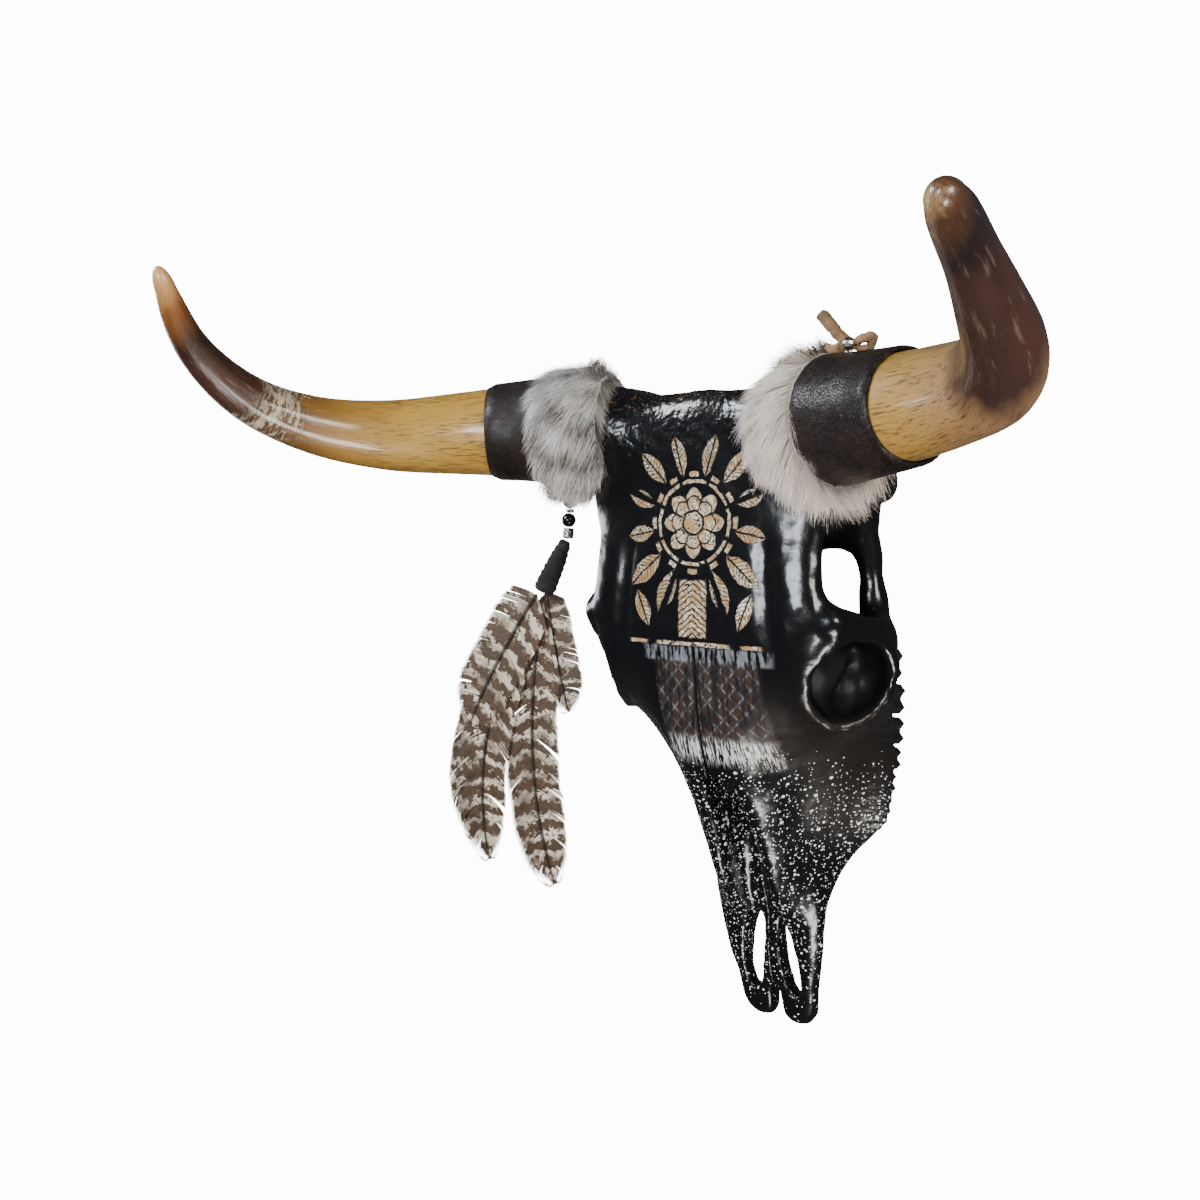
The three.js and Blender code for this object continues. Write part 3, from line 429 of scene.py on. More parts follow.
        peel = graph.noise(place, 0.20, 2, 0.4)
        relief = graph.bump((peel * (0.3 + y.step(110.0, 150.0)) + coarse) * (1.0 - cup * 0.8), 0.0006)
        relief = graph.bump(pale * -1.0 - seam * 2.0 + flecks * 0.3, 0.0006, relief)
        rough = 0.15 + coarse * 0.12 + pale * 0.35 + flecks * 0.3 + band * 0.15 + cheek * 0.16
        gloss = graph.surface(base_color=colour, roughness=rough, normal=relief, specular_ior_level=0.55)
        # The eye sockets mix in a dull surface with weak reflections, for the shade of the deep recess
        dull = graph.surface(base_color=self.black, roughness=0.50, normal=relief, specular_ior_level=0.10)
        graph.end(graph.node("ShaderNodeMixShader", {}, {0: cup * 0.96, 1: gloss, 2: dull}))
        return graph.material


@dataclass(frozen=True)
class NaturalHorn:
    """Polished horn with dark fibres along it.

    The crust is the share of the length where a rough, scaly patch lies, and lean draws the colours up the outside.
    """

    stops: tuple
    name: str
    crust: float = -1.0
    lean: float = 0.0

    def material(self) -> bpy.types.Material:
        """Returns the horn's material, which reads the grain and course attributes."""
        graph = Graph(self.name)
        grain = graph.attribute("grain")
        course = graph.parts(graph.attribute("course"))[0]
        cloud = graph.noise(graph.scaled(grain, (0.05, 0.05, 0.012)), 1.0, 4, 0.6)
        outer = (abs(graph.parts(graph.object_place())[0]) - HORN_BEND).call("MAXIMUM", -12.0)
        place = course + (cloud - 0.5) * 0.15 - outer * self.lean
        colour = graph.ramp(place, self.stops)
        fibre = graph.noise(graph.scaled(grain, (0.75, 0.75, 0.010)), 1.0, 3, 0.6)
        dash = graph.noise(graph.scaled(grain, (1.1, 1.1, 0.035)), 1.0, 2)
        deep = (graph.noise(graph.scaled(grain, (0.06, 0.06, 0.02)), 1.0, 3) - 0.35) * 3.0
        colour = graph.mix(course.step(0.5, 0.62) * course.step(0.88, 0.8) * deep.call("MINIMUM", 0.5), colour,
                           (0.062, 0.025, 0.016))
        dark = (fibre * 0.7 + dash * 0.3 + (cloud - 0.5) * 0.3).step(0.48, 0.66)
        colour = graph.mix(dark * course.step(0.56, 0.44) * 0.8, colour, (0.050, 0.020, 0.006))
        pale = graph.noise(graph.scaled(grain, (0.35, 0.35, 0.03)), 1.0, 3)
        colour = graph.mix(pale.step(0.60, 0.74) * course.step(0.5, 0.65) * 0.16, colour, (0.50, 0.38, 0.28))
        height = fibre * 0.7 + dash * 0.3
        rough = 0.26 + fibre * 0.16
        if self.crust > 0:
            scales = graph.noise(graph.scaled(grain, (0.10, 0.10, 0.30)), 1.0, 3, 0.7)
            edge = (scales - 0.5) * 0.07 + (cloud - 0.5) * 0.16
            crusty = abs(course + edge - self.crust).step(0.06, 0.03) * scales.step(0.38, 0.52)
            crust = graph.mix(scales.step(0.35, 0.65), (0.045, 0.026, 0.013), (0.52, 0.41, 0.27))
            colour = graph.mix(crusty * 0.95, colour, crust)
            height = height + crusty * scales * 3.0
            rough = rough + crusty * 0.3
        relief = graph.bump(height, 0.0005)
        return graph.finish(base_color=colour, roughness=rough, normal=relief, coat_weight=0.5, coat_roughness=0.12)


@dataclass(frozen=True)
class Leather:
    """Leather of one colour with a fine grain."""

    name: str
    colour: tuple
    dark: tuple
    roughness: float = 0.42
    grain_scale: float = 0.55

    def material(self) -> bpy.types.Material:
        """Returns the leather."""
        graph = Graph(self.name)
        place = graph.object_place()
        grain = graph.node("ShaderNodeTexVoronoi", {"feature": "DISTANCE_TO_EDGE"},
                           {"Vector": place, "Scale": self.grain_scale})
        cloud = graph.noise(place, 0.06, 4)
        crease = graph.noise(place, 0.16, 3)
        colour = graph.mix(cloud.step(0.3, 0.7), self.dark, self.colour)
        height = grain.step(0.0, 0.12) * 0.4 + crease * 1.4
        relief = graph.bump(height, 0.0005)
        return graph.finish(base_color=colour, roughness=self.roughness + crease * 0.14, normal=relief,
                            specular_ior_level=0.36)


@dataclass(frozen=True)
class Hair:
    """Hair whose colour changes from strand to strand and from root to tip."""

    name: str
    pale: tuple
    dark: tuple
    dark_share: float

    def material(self) -> bpy.types.Material:
        """Returns the hair, which reads the strand attribute: chance, run from root to tip, and patch."""
        graph = Graph(self.name)
        chance, run, patch = graph.parts(graph.attribute("strand"))
        dark = (chance * 0.45 + patch * 0.75).step(1.0 - self.dark_share, 1.12 - self.dark_share)
        colour = graph.mix(dark, self.pale, self.dark)
        colour = graph.mix(run.step(0.45, 0.0) * 0.55, colour, self.dark)
        colour = graph.shaded(colour, chance, (0.58, 0.56, 0.54))
        return graph.finish(base_color=colour, roughness=0.62, specular_ior_level=0.25)


@dataclass(frozen=True)
class BarredVane:
    """Brown vane with ragged pale bars across it."""

    name: str
    pitch: float
    phase: float

    def material(self) -> bpy.types.Material:
        """Returns the vane, which reads the vane attribute: millimetres along, share across, and chance."""
        graph = Graph(self.name)
        along, across, chance = graph.parts(graph.attribute("vane"))
        place = graph.object_place()
        ragged = (graph.noise(place, 0.12, 4, 0.7) - 0.5) * 30.0
        slant = abs(across) * -7.0
        lobes = (graph.noise(place, 0.045, 2) - 0.5) * 26.0
        turn = (along + slant + ragged + lobes + self.phase + (chance - 0.5) * 4.6) * (math.tau / self.pitch)
        bar = (turn.call("SINE") + (graph.noise(place, 0.22, 3) - 0.5) * 1.5).step(0.26, 0.56)
        brown = graph.mix(graph.noise(place, 0.15, 4), (0.038, 0.023, 0.013), (0.150, 0.090, 0.050))
        pale = graph.mix(chance, (0.58, 0.46, 0.32), (1.0, 0.89, 0.72))
        patch = graph.noise(place, 0.03, 3).step(0.36, 0.52)
        colour = graph.mix(bar * (0.35 + 0.65 * patch), brown, pale)
        colour = graph.mix(abs(across).step(0.11, 0.03) * 0.85, colour, (0.020, 0.012, 0.008))
        colour = graph.shaded(colour, chance, (0.55, 0.53, 0.50))
        return graph.finish(base_color=colour, roughness=0.6, specular_ior_level=0.3)


@dataclass(frozen=True)
class Plain:
    """Even finish with a little unevenness."""

    name: str
    colour: tuple
    roughness: float
    metallic: float = 0.0
    mottle: float = 0.15

    def material(self) -> bpy.types.Material:
        """Returns the finish."""
        graph = Graph(self.name)
        cloud = graph.noise(graph.object_place(), 0.35, 3)
        dark = tuple(c * (1 - self.mottle * 2) for c in self.colour)
        colour = graph.mix(cloud.step(0.35, 0.65), dark, self.colour)
        relief = graph.bump(cloud, 0.0002)
        return graph.finish(base_color=colour, roughness=self.roughness + cloud * 0.12, metallic=self.metallic,
                            normal=relief)


# Mesh helpers


def linked(name: str, data: bpy.types.ID) -> bpy.types.Object:
    """A new object in the scene with that mesh, curve, light or camera."""
    made = bpy.data.objects.new(name, data)
    bpy.context.scene.collection.objects.link(made)
    return made


def from_bmesh(name: str, form: bmesh.types.BMesh) -> bpy.types.Object:
    """Turns a bmesh into a smooth object and frees it."""
    mesh = bpy.data.meshes.new(name)
    form.to_mesh(mesh)
    form.free()
    mesh.polygons.foreach_set("use_smooth", [True] * len(mesh.polygons))
    return linked(name, mesh)


def merged_copy(node: bpy.types.Object, name: str) -> bpy.types.Object:
    """Copy of a CAD node with its shared vertices merged."""
    form = bmesh.new()
    form.from_mesh(node.data)
    bmesh.ops.remove_doubles(form, verts=form.verts, dist=1e-5)
    return from_bmesh(name, form)


def bake_modifiers(piece: bpy.types.Object) -> None:
    """Applies a piece's modifiers to its mesh."""
    graph = bpy.context.evaluated_depsgraph_get()
    mesh = bpy.data.meshes.new_from_object(piece.evaluated_get(graph))
    piece.modifiers.clear()
    piece.data = mesh


def vertex_places(mesh: bpy.types.Mesh) -> np.ndarray:
    """Vertex places as rows."""
    flat = np.zeros(len(mesh.vertices) * 3)
    mesh.vertices.foreach_get("co", flat)
    return flat.reshape(-1, 3)


def relaxed(mesh: bpy.types.Mesh, places: np.ndarray, weights: np.ndarray, rounds: int) -> np.ndarray:
    """Draws each vertex toward the middle of its neighbours, round after round.

    Args:
        mesh: gives the edges.
        places: vertex places.
        weights: share of the way that each vertex goes in a round.
        rounds: how many rounds.

    Returns:
        The new places.
    """
    edges = np.zeros(len(mesh.edges) * 2, dtype=np.int64)
    mesh.edges.foreach_get("vertices", edges)
    first, second = edges.reshape(-1, 2).T
    count = len(places)
    mates = np.maximum(np.bincount(first, minlength=count) + np.bincount(second, minlength=count), 1)
    places = places.copy()
    for _ in range(rounds):
        for axis in range(3):
            row = places[:, axis]
            total = np.bincount(first, row[second], count) + np.bincount(second, row[first], count)
            places[:, axis] = row + (total / mates - row) * weights
    return places


def set_attribute(mesh: bpy.types.Mesh, name: str, rows: np.ndarray) -> None:
    """Stores a vector for each vertex."""
    layer = mesh.attributes.new(name, "FLOAT_VECTOR", "POINT")
    layer.data.foreach_set("vector", np.asarray(rows, dtype=np.float32).ravel())


def paint(piece: bpy.types.Object, *materials: bpy.types.Material) -> None:
    """Gives a piece or a CAD node its materials."""
    piece.data.materials.clear()
    for material in materials:
        piece.data.materials.append(material)


def dressed(piece: bpy.types.Object, slot: str, *materials: bpy.types.Material) -> bpy.types.Object:
    """Gives a piece its materials and its body."""
    paint(piece, *materials)
    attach(piece, "root")
    LOG.info("%s: %d faces", piece.name, len(piece.data.polygons) if piece.type == "MESH" else 0)
    return piece


@dataclass
class Route:
    """Smooth line through points, measured along its length."""

    points: np.ndarray
    steps: int = 400
    line: np.ndarray = field(init=False)
    lengths: np.ndarray = field(init=False)

    def __post_init__(self) -> None:
        """Works out the dense line and the length at each of its points."""
        given = np.asarray(self.points, dtype=float)
        ends = np.vstack([2 * given[0] - given[1], given, 2 * given[-1] - given[-2]])
        dense = []
        per = max(self.steps // (len(given) - 1), 4)
        for i in range(1, len(ends) - 2):
            p0, p1, p2, p3 = ends[i - 1:i + 3]
            d0, d1, d2 = (math.sqrt(np.linalg.norm(b - a)) for a, b in ((p0, p1), (p1, p2), (p2, p3)))
            m1 = ((p1 - p0) / d0 - (p2 - p0) / (d0 + d1) + (p2 - p1) / d1) * d1
            m2 = ((p2 - p1) / d1 - (p3 - p1) / (d1 + d2) + (p3 - p2) / d2) * d1
            last = i == len(ends) - 3
            t = np.linspace(0, 1, per + 1)[: per + 1 if last else per, None]
            dense.append((2 * t**3 - 3 * t**2 + 1) * p1 + (t**3 - 2 * t**2 + t) * m1
                         + (-2 * t**3 + 3 * t**2) * p2 + (t**3 - t**2) * m2)
        self.line = np.vstack(dense)
        self.lengths = np.concatenate([[0], np.cumsum(np.linalg.norm(np.diff(self.line, axis=0), axis=1))])

    @property
    def length(self) -> float:
        """Whole length."""
        return float(self.lengths[-1])

    def at(self, distance: float) -> tuple:
        """Point and direction at a distance, carried on straight past the ends."""
        inside = min(max(distance, 0.0), self.length)
        step = self.length * 0.004
        places = (max(inside - step, 0.0), inside, min(inside + step, self.length))
        behind, point, ahead = (np.array([np.interp(place, self.lengths, self.line[:, c]) for c in range(3)])
                                for place in places)
        direction = (ahead - behind) / np.linalg.norm(ahead - behind)
        return Vector(point + direction * (distance - inside)), Vector(direction)


@dataclass
class Sweep:
    """Round form along a route, made by extruding a circle from ring to ring."""

    route: Route
    sides: int
    upright: Vector = field(default_factory=lambda: Vector((0, -1, 0)))

    def frame(self, distance: float) -> tuple:
        """Point and two cross directions at a distance."""
        point, direction = self.route.at(distance)
        across = direction.cross(self.upright).normalized()
        return point, across, direction.cross(across).normalized()

    def build(self, name: str, rings: Sequence[tuple], ripple: Callable[[float, float], float],
              closed_ring: bool = False) -> bpy.types.Object:
        """Builds the form.

        Args:
            name: the piece's name.
            rings: distance along and radius of each ring.
            ripple: extra radius for a distance and an angle.
            closed_ring: joins the last ring to the first, as on a sleeve; otherwise both ends are capped.

        Returns:
            The piece, with the course attribute: share along, angle and radius.
        """
        form = bmesh.new()
        course = form.verts.layers.float_vector.new("course")
        made = bmesh.ops.create_circle(form, segments=self.sides, radius=1.0)["verts"]
        loops = []
        current = list(form.edges)
        for order, (distance, radius) in enumerate(rings):
            if order:
                grown = bmesh.ops.extrude_edge_only(form, edges=current)["geom"]
                made = [g for g in grown if isinstance(g, bmesh.types.BMVert)]
                current = [g for g in grown if isinstance(g, bmesh.types.BMEdge)]
            point, across, up = self.frame(distance)
            previous = loops[-1] if loops else None
            for number, vert in enumerate(made):
                if previous is None:
                    angle = math.tau * number / self.sides
                else:
                    mate = next(e.other_vert(vert) for e in vert.link_edges if e.other_vert(vert) in previous)
                    angle = mate[course][1]
                reach = radius + ripple(distance, angle)
                vert.co = point + across * (math.cos(angle) * reach) + up * (math.sin(angle) * reach)
                vert[course] = (distance / self.route.length, angle, reach)
            loops.append(set(made))
        if closed_ring:
            first = [e for e in form.edges if all(v in loops[0] for v in e.verts)]
            bmesh.ops.bridge_loops(form, edges=first + current)
        else:
            for loop in (loops[0], loops[-1]):
                ring = [e for e in form.edges if all(v in loop for v in e.verts)]
                bmesh.ops.edgeloop_fill(form, edges=ring)
        bmesh.ops.recalc_face_normals(form, faces=form.faces)
        return from_bmesh(name, form)


# The skull


@dataclass
class Skull:
    """The bone, rebuilt from its CAD form with finer surface detail."""

    frame: dict
    voxel: float = 0.0023
    smooth_rounds: int = 200
    rim_radius: float = 32.0
    crest_wave: float = 0.78
    crest_depth: float = 1.3
    furrow_depth: float = 2.4
    seam_depth: float = 1.3
    far_rim: tuple = (-110.0, -48.0, 131.0)
    far_rim_pull: tuple = (11.0, 1.0, -8.5)
    far_rim_reach: float = 24.0

    def softness(self, places: np.ndarray, normals: np.ndarray) -> np.ndarray:
        """How strongly the wide, thick faces and the bottom of the eye socket are smoothed."""
        side, y, z = np.abs(places[:, 0]), places[:, 1], places[:, 2]
        # Forehead and nasal bones, then the cheeks
        front = smooth_step(normals[:, 2], 0.15, 0.45) * smooth_step(z, 95, 125) * (1 - smooth_step(side, 84, 96))
        front *= smooth_step(y, -190, -150)
        cheek = smooth_step(normals[:, 2], -0.1, 0.2) * smooth_step(-y, 45, 70) * smooth_step(z, 40, 60)
        cheek *= smooth_step(y, -190, -150) * 0.5
        # Bottom of the eye socket, and the edge around it that stays sharp
        flat, out = self.socket_place(side, y, z)
        cup = (1 - smooth_step(flat, 22, 28)) * 0.07
        edge = smooth_step(flat, 24, 30) * (1 - smooth_step(flat, 42, 50))
        return np.maximum(np.maximum(front, cheek) * (1 - 0.92 * edge * smooth_step(out, -14, -6)), cup) * 0.5

    def socket_place(self, side: np.ndarray, y: np.ndarray, z: np.ndarray) -> tuple:
        """Distance from the eye socket's axis and height along it."""
        offset = np.stack([side, y, z], axis=1) - np.array(ORBIT)
        out = offset @ np.array(ORBIT_AXIS)
        return np.sqrt(np.maximum((offset**2).sum(axis=1) - out**2, 0)), out

    def relief(self, places: np.ndarray, normals: np.ndarray) -> np.ndarray:
        """How far each vertex moves along its normal, in millimetres.

        Args:
            places: vertex places in the part's own millimetres.
            normals: vertex normals.

        Returns:
            One distance for each vertex.
        """
        side = np.abs(places[:, 0])
        y, z = places[:, 1], places[:, 2]
        slow = np.array([noise.noise(Vector(p) * 0.035) for p in places])
        quick = np.array([noise.noise(Vector(p) * 0.11) for p in places])
        sharp = np.array([noise.noise(Vector(p) * 0.21) for p in places])
        move = slow * 0.9 + quick * 0.35
        # Uneven rim of the eye socket, more so on the near side
        flat, out = self.socket_place(side, y, z)
        rim = smooth_step(9 - np.abs(flat - self.rim_radius), 0, 6) * smooth_step(out, -10, -2)
        near = smooth_step(places[:, 0], -20, 20)
        move += rim * (sharp * 0.2 + quick * 0.6) * (0.2 + 0.8 * near)
        # Notched crest of the cheek
        crest = smooth_step(side, 76, 84) * smooth_step(-y, 10, 40) * smooth_step(-y, 140, 115)
        crest *= smooth_step(z, 44, 54) * (1 - smooth_step(z, 84, 96))
        move += crest * np.sin(y * self.crest_wave) * self.crest_depth
        # Furrow between the forehead and the brow ridge
        furrow = np.exp(-((side - 61 + (y - 40) * 0.10) / 7.0) ** 2) * smooth_step(y, -20, 10)
        furrow *= (1 - smooth_step(y, 70, 95)) * smooth_step(z, 180, 190)
        move -= furrow * self.furrow_depth
        # Seam of the nasal bones
        seam = np.exp(-(places[:, 0] / 1.8) ** 2) * smooth_step(-y, -8, 4) * smooth_step(normals[:, 2], 0.2, 0.5)
        move -= seam * self.seam_depth * smooth_step(y, -94, -86)
        return move

    def build(self) -> bpy.types.Object:
        """Returns the finished bone."""
        piece = merged_copy(self.frame["nodes"]["skull"], "skull_bone")
        shaper = piece.modifiers.new("even_mesh", "REMESH")
        shaper.mode = "VOXEL"
        shaper.voxel_size = self.voxel
        bake_modifiers(piece)
        softener = piece.modifiers.new("soften", "CORRECTIVE_SMOOTH")
        softener.factor = 0.5
        softener.iterations = 6
        softener.smooth_type = "SIMPLE"
        softener.use_only_smooth = True
        bake_modifiers(piece)
        mesh = piece.data
        places = vertex_places(mesh)
        normals = np.zeros(len(mesh.vertices) * 3)
        mesh.vertices.foreach_get("normal", normals)
        normals = normals.reshape(-1, 3)
        own = (places - np.array(SHIFT)) * 1000
        places = relaxed(mesh, places, self.softness(own, normals), self.smooth_rounds)
        moved = places + normals * self.relief(own, normals)[:, None] * MM
        pull = np.exp(-(np.linalg.norm(own - np.array(self.far_rim), axis=1) / self.far_rim_reach) ** 2)
        moved += pull[:, None] * np.array(self.far_rim_pull) * MM
        moved[:, 2] = np.maximum(moved[:, 2], 0.0)
        mesh.vertices.foreach_set("co", moved.ravel())
        mesh.polygons.foreach_set("use_smooth", [True] * len(mesh.polygons))
        mesh.update()
        dressed(piece, "black_painted_bone", PaintedBone().material())
        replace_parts(piece, "skull")
        return piece

    def teeth(self) -> None:
        """Gives the CAD teeth the skull's paint."""
        black = Plain("black_paint", (0.012, 0.012, 0.014), 0.3).material()
        for name, node in self.frame["nodes"].items():
            if name.startswith("tooth_"):
                paint(node, black)


# Horns and their dressing

HORN_LINES = {
    Side.LEFT: [(100, 161, 200), (150, 162, 218), (199, 163, 245), (238, 163, 282),
                (262, 169, 329), (273, 181, 381), (280, 194, 433), (291, 195, 482)],
    Side.RIGHT: [(100, 165, 199), (157, 162, 216), (202, 157, 245), (239, 151, 285),
                 (265, 151, 334), (281, 163, 385), (284, 191, 432), (276, 238, 470)],
}
HORN_PLACES = (0, 0.14, 0.29, 0.43, 0.57, 0.71, 0.86, 0.95, 0.985, 1.0)
HORN_RADII = (41, 36, 31.5, 27, 22, 17, 11.8, 8, 5, 0.6)
# Share of the length where the round tip starts, and the tip's own share
TIP_START, TIP_SHARE = 0.955, 0.045


@dataclass
class Horn:
    """One horn with its leather sleeve."""

    side: Side
    finish: NaturalHorn
    sleeve_end: float
    tip_swell: float
    sleeve_start: float = 2.0
    route: Route = field(init=False)

    def __post_init__(self) -> None:
        """Lays out the centreline."""
        points = [placed(x * self.side.value, y, z) for x, y, z in HORN_LINES[self.side]]
        self.route = Route(np.array(points))

    def radius(self, distance: float) -> float:
        """Radius of the horn at a distance from its base, in metres."""
        share = min(max(distance / self.route.length, 0.0), 1.0)
        swell = 1 + self.tip_swell * smooth_step(share, 0.80, 0.96)
        return float(np.interp(share, HORN_PLACES, HORN_RADII)) * swell * MM

    def build(self) -> bpy.types.Object:
        """Returns the horn."""
        count = 110
        distances = [self.route.length * (1 - (1 - i / count) ** 1.25) for i in range(count + 1)]
        rings = [(d, self.smooth_radius(d)) for d in distances]
        seed = 3.0 * self.side.value

        def ripple(distance: float, angle: float) -> float:
            """Slight lengthwise ridges and hollows."""
            place = Vector((math.cos(angle) * 1.3, math.sin(angle) * 1.3, distance * 9 + seed))
            fine = Vector((math.cos(angle) * 5, math.sin(angle) * 5, distance * 14 + seed))
            fade = 1 - smooth_step(distance / self.route.length, 0.9, 1.0)
            return (noise.noise(place) * 0.0009 + noise.noise(fine) * 0.0003) * fade

        piece = Sweep(self.route, 64).build(f"horn_{self.side.word}_shell", rings, ripple)
        rows = vertex_places(piece.data)
        course = np.zeros(len(rows) * 3)
        piece.data.attributes["course"].data.foreach_get("vector", course)
        course = course.reshape(-1, 3)
        reach = course[:, 2] * 1000
        grain = np.stack([np.cos(course[:, 1]) * reach, np.sin(course[:, 1]) * reach,
                          course[:, 0] * self.route.length * 1000 + 50 * self.side.value], axis=1)
        set_attribute(piece.data, "grain", grain)
        dressed(piece, "horn", self.finish.material())
        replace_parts(piece, f"horn_{self.side.word}")
        return piece

    def smooth_radius(self, distance: float) -> float:
        """Radius with the corners of the table rounded off and a round tip."""
        share = distance / self.route.length
        if share > TIP_START:
            tip = math.sqrt(max(1 - ((share - TIP_START) / TIP_SHARE) ** 2, 0.0))
            return max(tip * self.smooth_radius(self.route.length * TIP_START), 0.0002)
        window = self.route.length * 0.03
        tries = [self.radius(distance + window * k) for k in (-1, -0.5, 0, 0.5, 1)]
        return sum(tries) / len(tries)

    def sleeve(self, material: bpy.types.Material) -> bpy.types.Object:
        """Returns the leather sleeve with a turned edge and soft wrinkles."""
        start, end = self.sleeve_start * MM, self.sleeve_end * MM
        rows = [start + (end - start) * i / 26 for i in range(27)]
        outer = [(d, self.radius(d) + 0.0034 - 0.0012 * (abs(i - 13) >= 12) - 0.0012 * (abs(i - 13) >= 13))
                 for i, d in enumerate(rows)]
        inner = [(d, self.radius(d) + 0.0008) for d in reversed(rows[::13])]

        def ripple(distance: float, angle: float) -> float:
            """Soft wrinkles of leather that was put on wet."""
            place = Vector((math.cos(angle) * 2.2, math.sin(angle) * 2.2, distance * 45 + self.side.value))
            return noise.noise(place) * 0.0005

        piece = Sweep(self.route, 80).build(f"sleeve_{self.side.word}_leather", outer + inner, ripple, True)
        dressed(piece, "brown_leather", material)
        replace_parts(piece, f"leather_sleeve_{self.side.word}")
        return piece


@dataclass
class FurCollar:
    """Collar of hair at the base of a horn, as strands that stand on the collar's CAD form."""

    frame: dict
    horn: Horn
    finish: Hair
    slot: str
    flow: float
    fall: float
    rise: float
    strands: int = 24500
    length: tuple = (16.0, 30.0)
    segments: int = 4
    dark_top: float = 0.0
    half_width: tuple = (0.00014, 0.00030)
    swirl: float = 0.28
    scatter: float = 0.06
    droop: tuple = (0, -0.10, -0.12)

    def roots(self, dice: np.random.Generator) -> tuple:
        """Places on the collar's outer faces, spread by area, with their normals."""
        node = self.frame["nodes"][f"fur_collar_{self.horn.side.word}"]
        base, direction = self.horn.route.at(0.0)
        corners, normals, weights = [], [], []
        for face in node.data.polygons:
            triangle = [node.data.vertices[i].co.copy() for i in face.vertices[:3]]
            middle = sum(triangle, Vector()) / 3
            axis = base + direction * (middle - base).dot(direction)
            if face.normal.dot((middle - axis).normalized()) > -0.3:
                corners.append([list(c) for c in triangle])
                normals.append(list(face.normal))
                weights.append(face.area)
        corners, normals = np.array(corners), np.array(normals)
        share = np.array(weights) / sum(weights)
        picks = dice.choice(len(share), self.strands, p=share)
        a, b = dice.random(self.strands), dice.random(self.strands)
        flip = a + b > 1
        a[flip], b[flip] = 1 - a[flip], 1 - b[flip]
        chosen = corners[picks]
        places = (chosen[:, 0] + (chosen[:, 1] - chosen[:, 0]) * a[:, None]
                  + (chosen[:, 2] - chosen[:, 0]) * b[:, None])
        return places, normals[picks]

    def build(self) -> bpy.types.Object:
        """Returns the collar's strands as one joined mesh."""
        dice = np.random.default_rng(17 + self.horn.side.value)
        # noise_vector starts from the clock unless it is given a seed
        noise.seed_set(17 + self.horn.side.value)
        places, outward = self.roots(dice)
        count = self.strands
        _, direction = self.horn.route.at(0.0)
        swirl = np.array([list(noise.noise_vector(Vector(p) * 60)) for p in places])
        way = np.array(direction) * self.flow + np.array([0, 0, -self.fall]) * 0.35 + swirl * self.swirl
        way += np.array([0, -self.fall, 0])
        way -= outward * np.sum(way * outward, axis=1)[:, None]
        way += outward * (self.rise + dice.uniform(0, 0.24, (count, 1))) + dice.normal(0, self.scatter, (count, 3))
        way /= np.linalg.norm(way, axis=1)[:, None]
        reach = dice.uniform(*self.length, count) * MM
        patch = np.array([noise.noise(Vector(p) * 55) for p in places]) * 0.5 + 0.5
        patch += smooth_step((places[:, 1] - SHIFT.y) / MM, 186, 204) * self.dark_top
        chance = dice.random(count)
        side = np.cross(way, outward)
        side /= np.linalg.norm(side, axis=1)[:, None] + 1e-9
        rows = self.segments + 1
        verts = np.zeros((count, rows, 2, 3))
        strand = np.zeros((count, rows, 2, 3))
        width = dice.uniform(*self.half_width, count)
        for row in range(rows):
            t = row / self.segments
            bend = outward * (-self.rise * 0.9 * t * t)
            centre = places + (way * t + bend + np.array(self.droop) * (t * t)) * reach[:, None]
            half = side * (width * (1.0 - 0.85 * t))[:, None]
            verts[:, row, 0], verts[:, row, 1] = centre - half, centre + half
            strand[:, row, :, 0] = chance[:, None]
            strand[:, row, :, 1] = t
            strand[:, row, :, 2] = patch[:, None]
        corner = (np.arange(count) * rows * 2)[:, None] + (np.arange(self.segments) * 2)[None, :]
        faces = np.stack([corner, corner + 1, corner + 3, corner + 2], axis=-1).reshape(-1, 4)
        mesh = bpy.data.meshes.new(f"fur_{self.horn.side.word}_strands")
        mesh.from_pydata(verts.reshape(-1, 3).tolist(), [], faces.tolist())
        set_attribute(mesh, "strand", strand.reshape(-1, 3))
        piece = linked(mesh.name, mesh)
        dressed(piece, self.slot, self.finish.material())
        base = Plain(f"{self.slot}_under", tuple(c * 0.55 for c in self.finish.pale), 0.9, 0.0, 0.25)
        paint(self.frame["nodes"][f"fur_collar_{self.horn.side.word}"], base.material())
        return piece


# The feather bundle

HANGER_POINTS = [
    (-129, 134, 160), (-133, 131, 148), (-139, 129, 128), (-145, 129, 104), (-151, 131, 80), (-157, 134, 56),
    (-164, 138, 34), (-174, 143, 16), (-188, 148, 6.5), (-206, 153, 2.9), (-226, 157, 2.3), (-246, 158, 2.2),
    (-262, 156, 2.4), (-274, 150, 3.6), (-280, 143, 5.8), (-281, 141, 6.6),
]


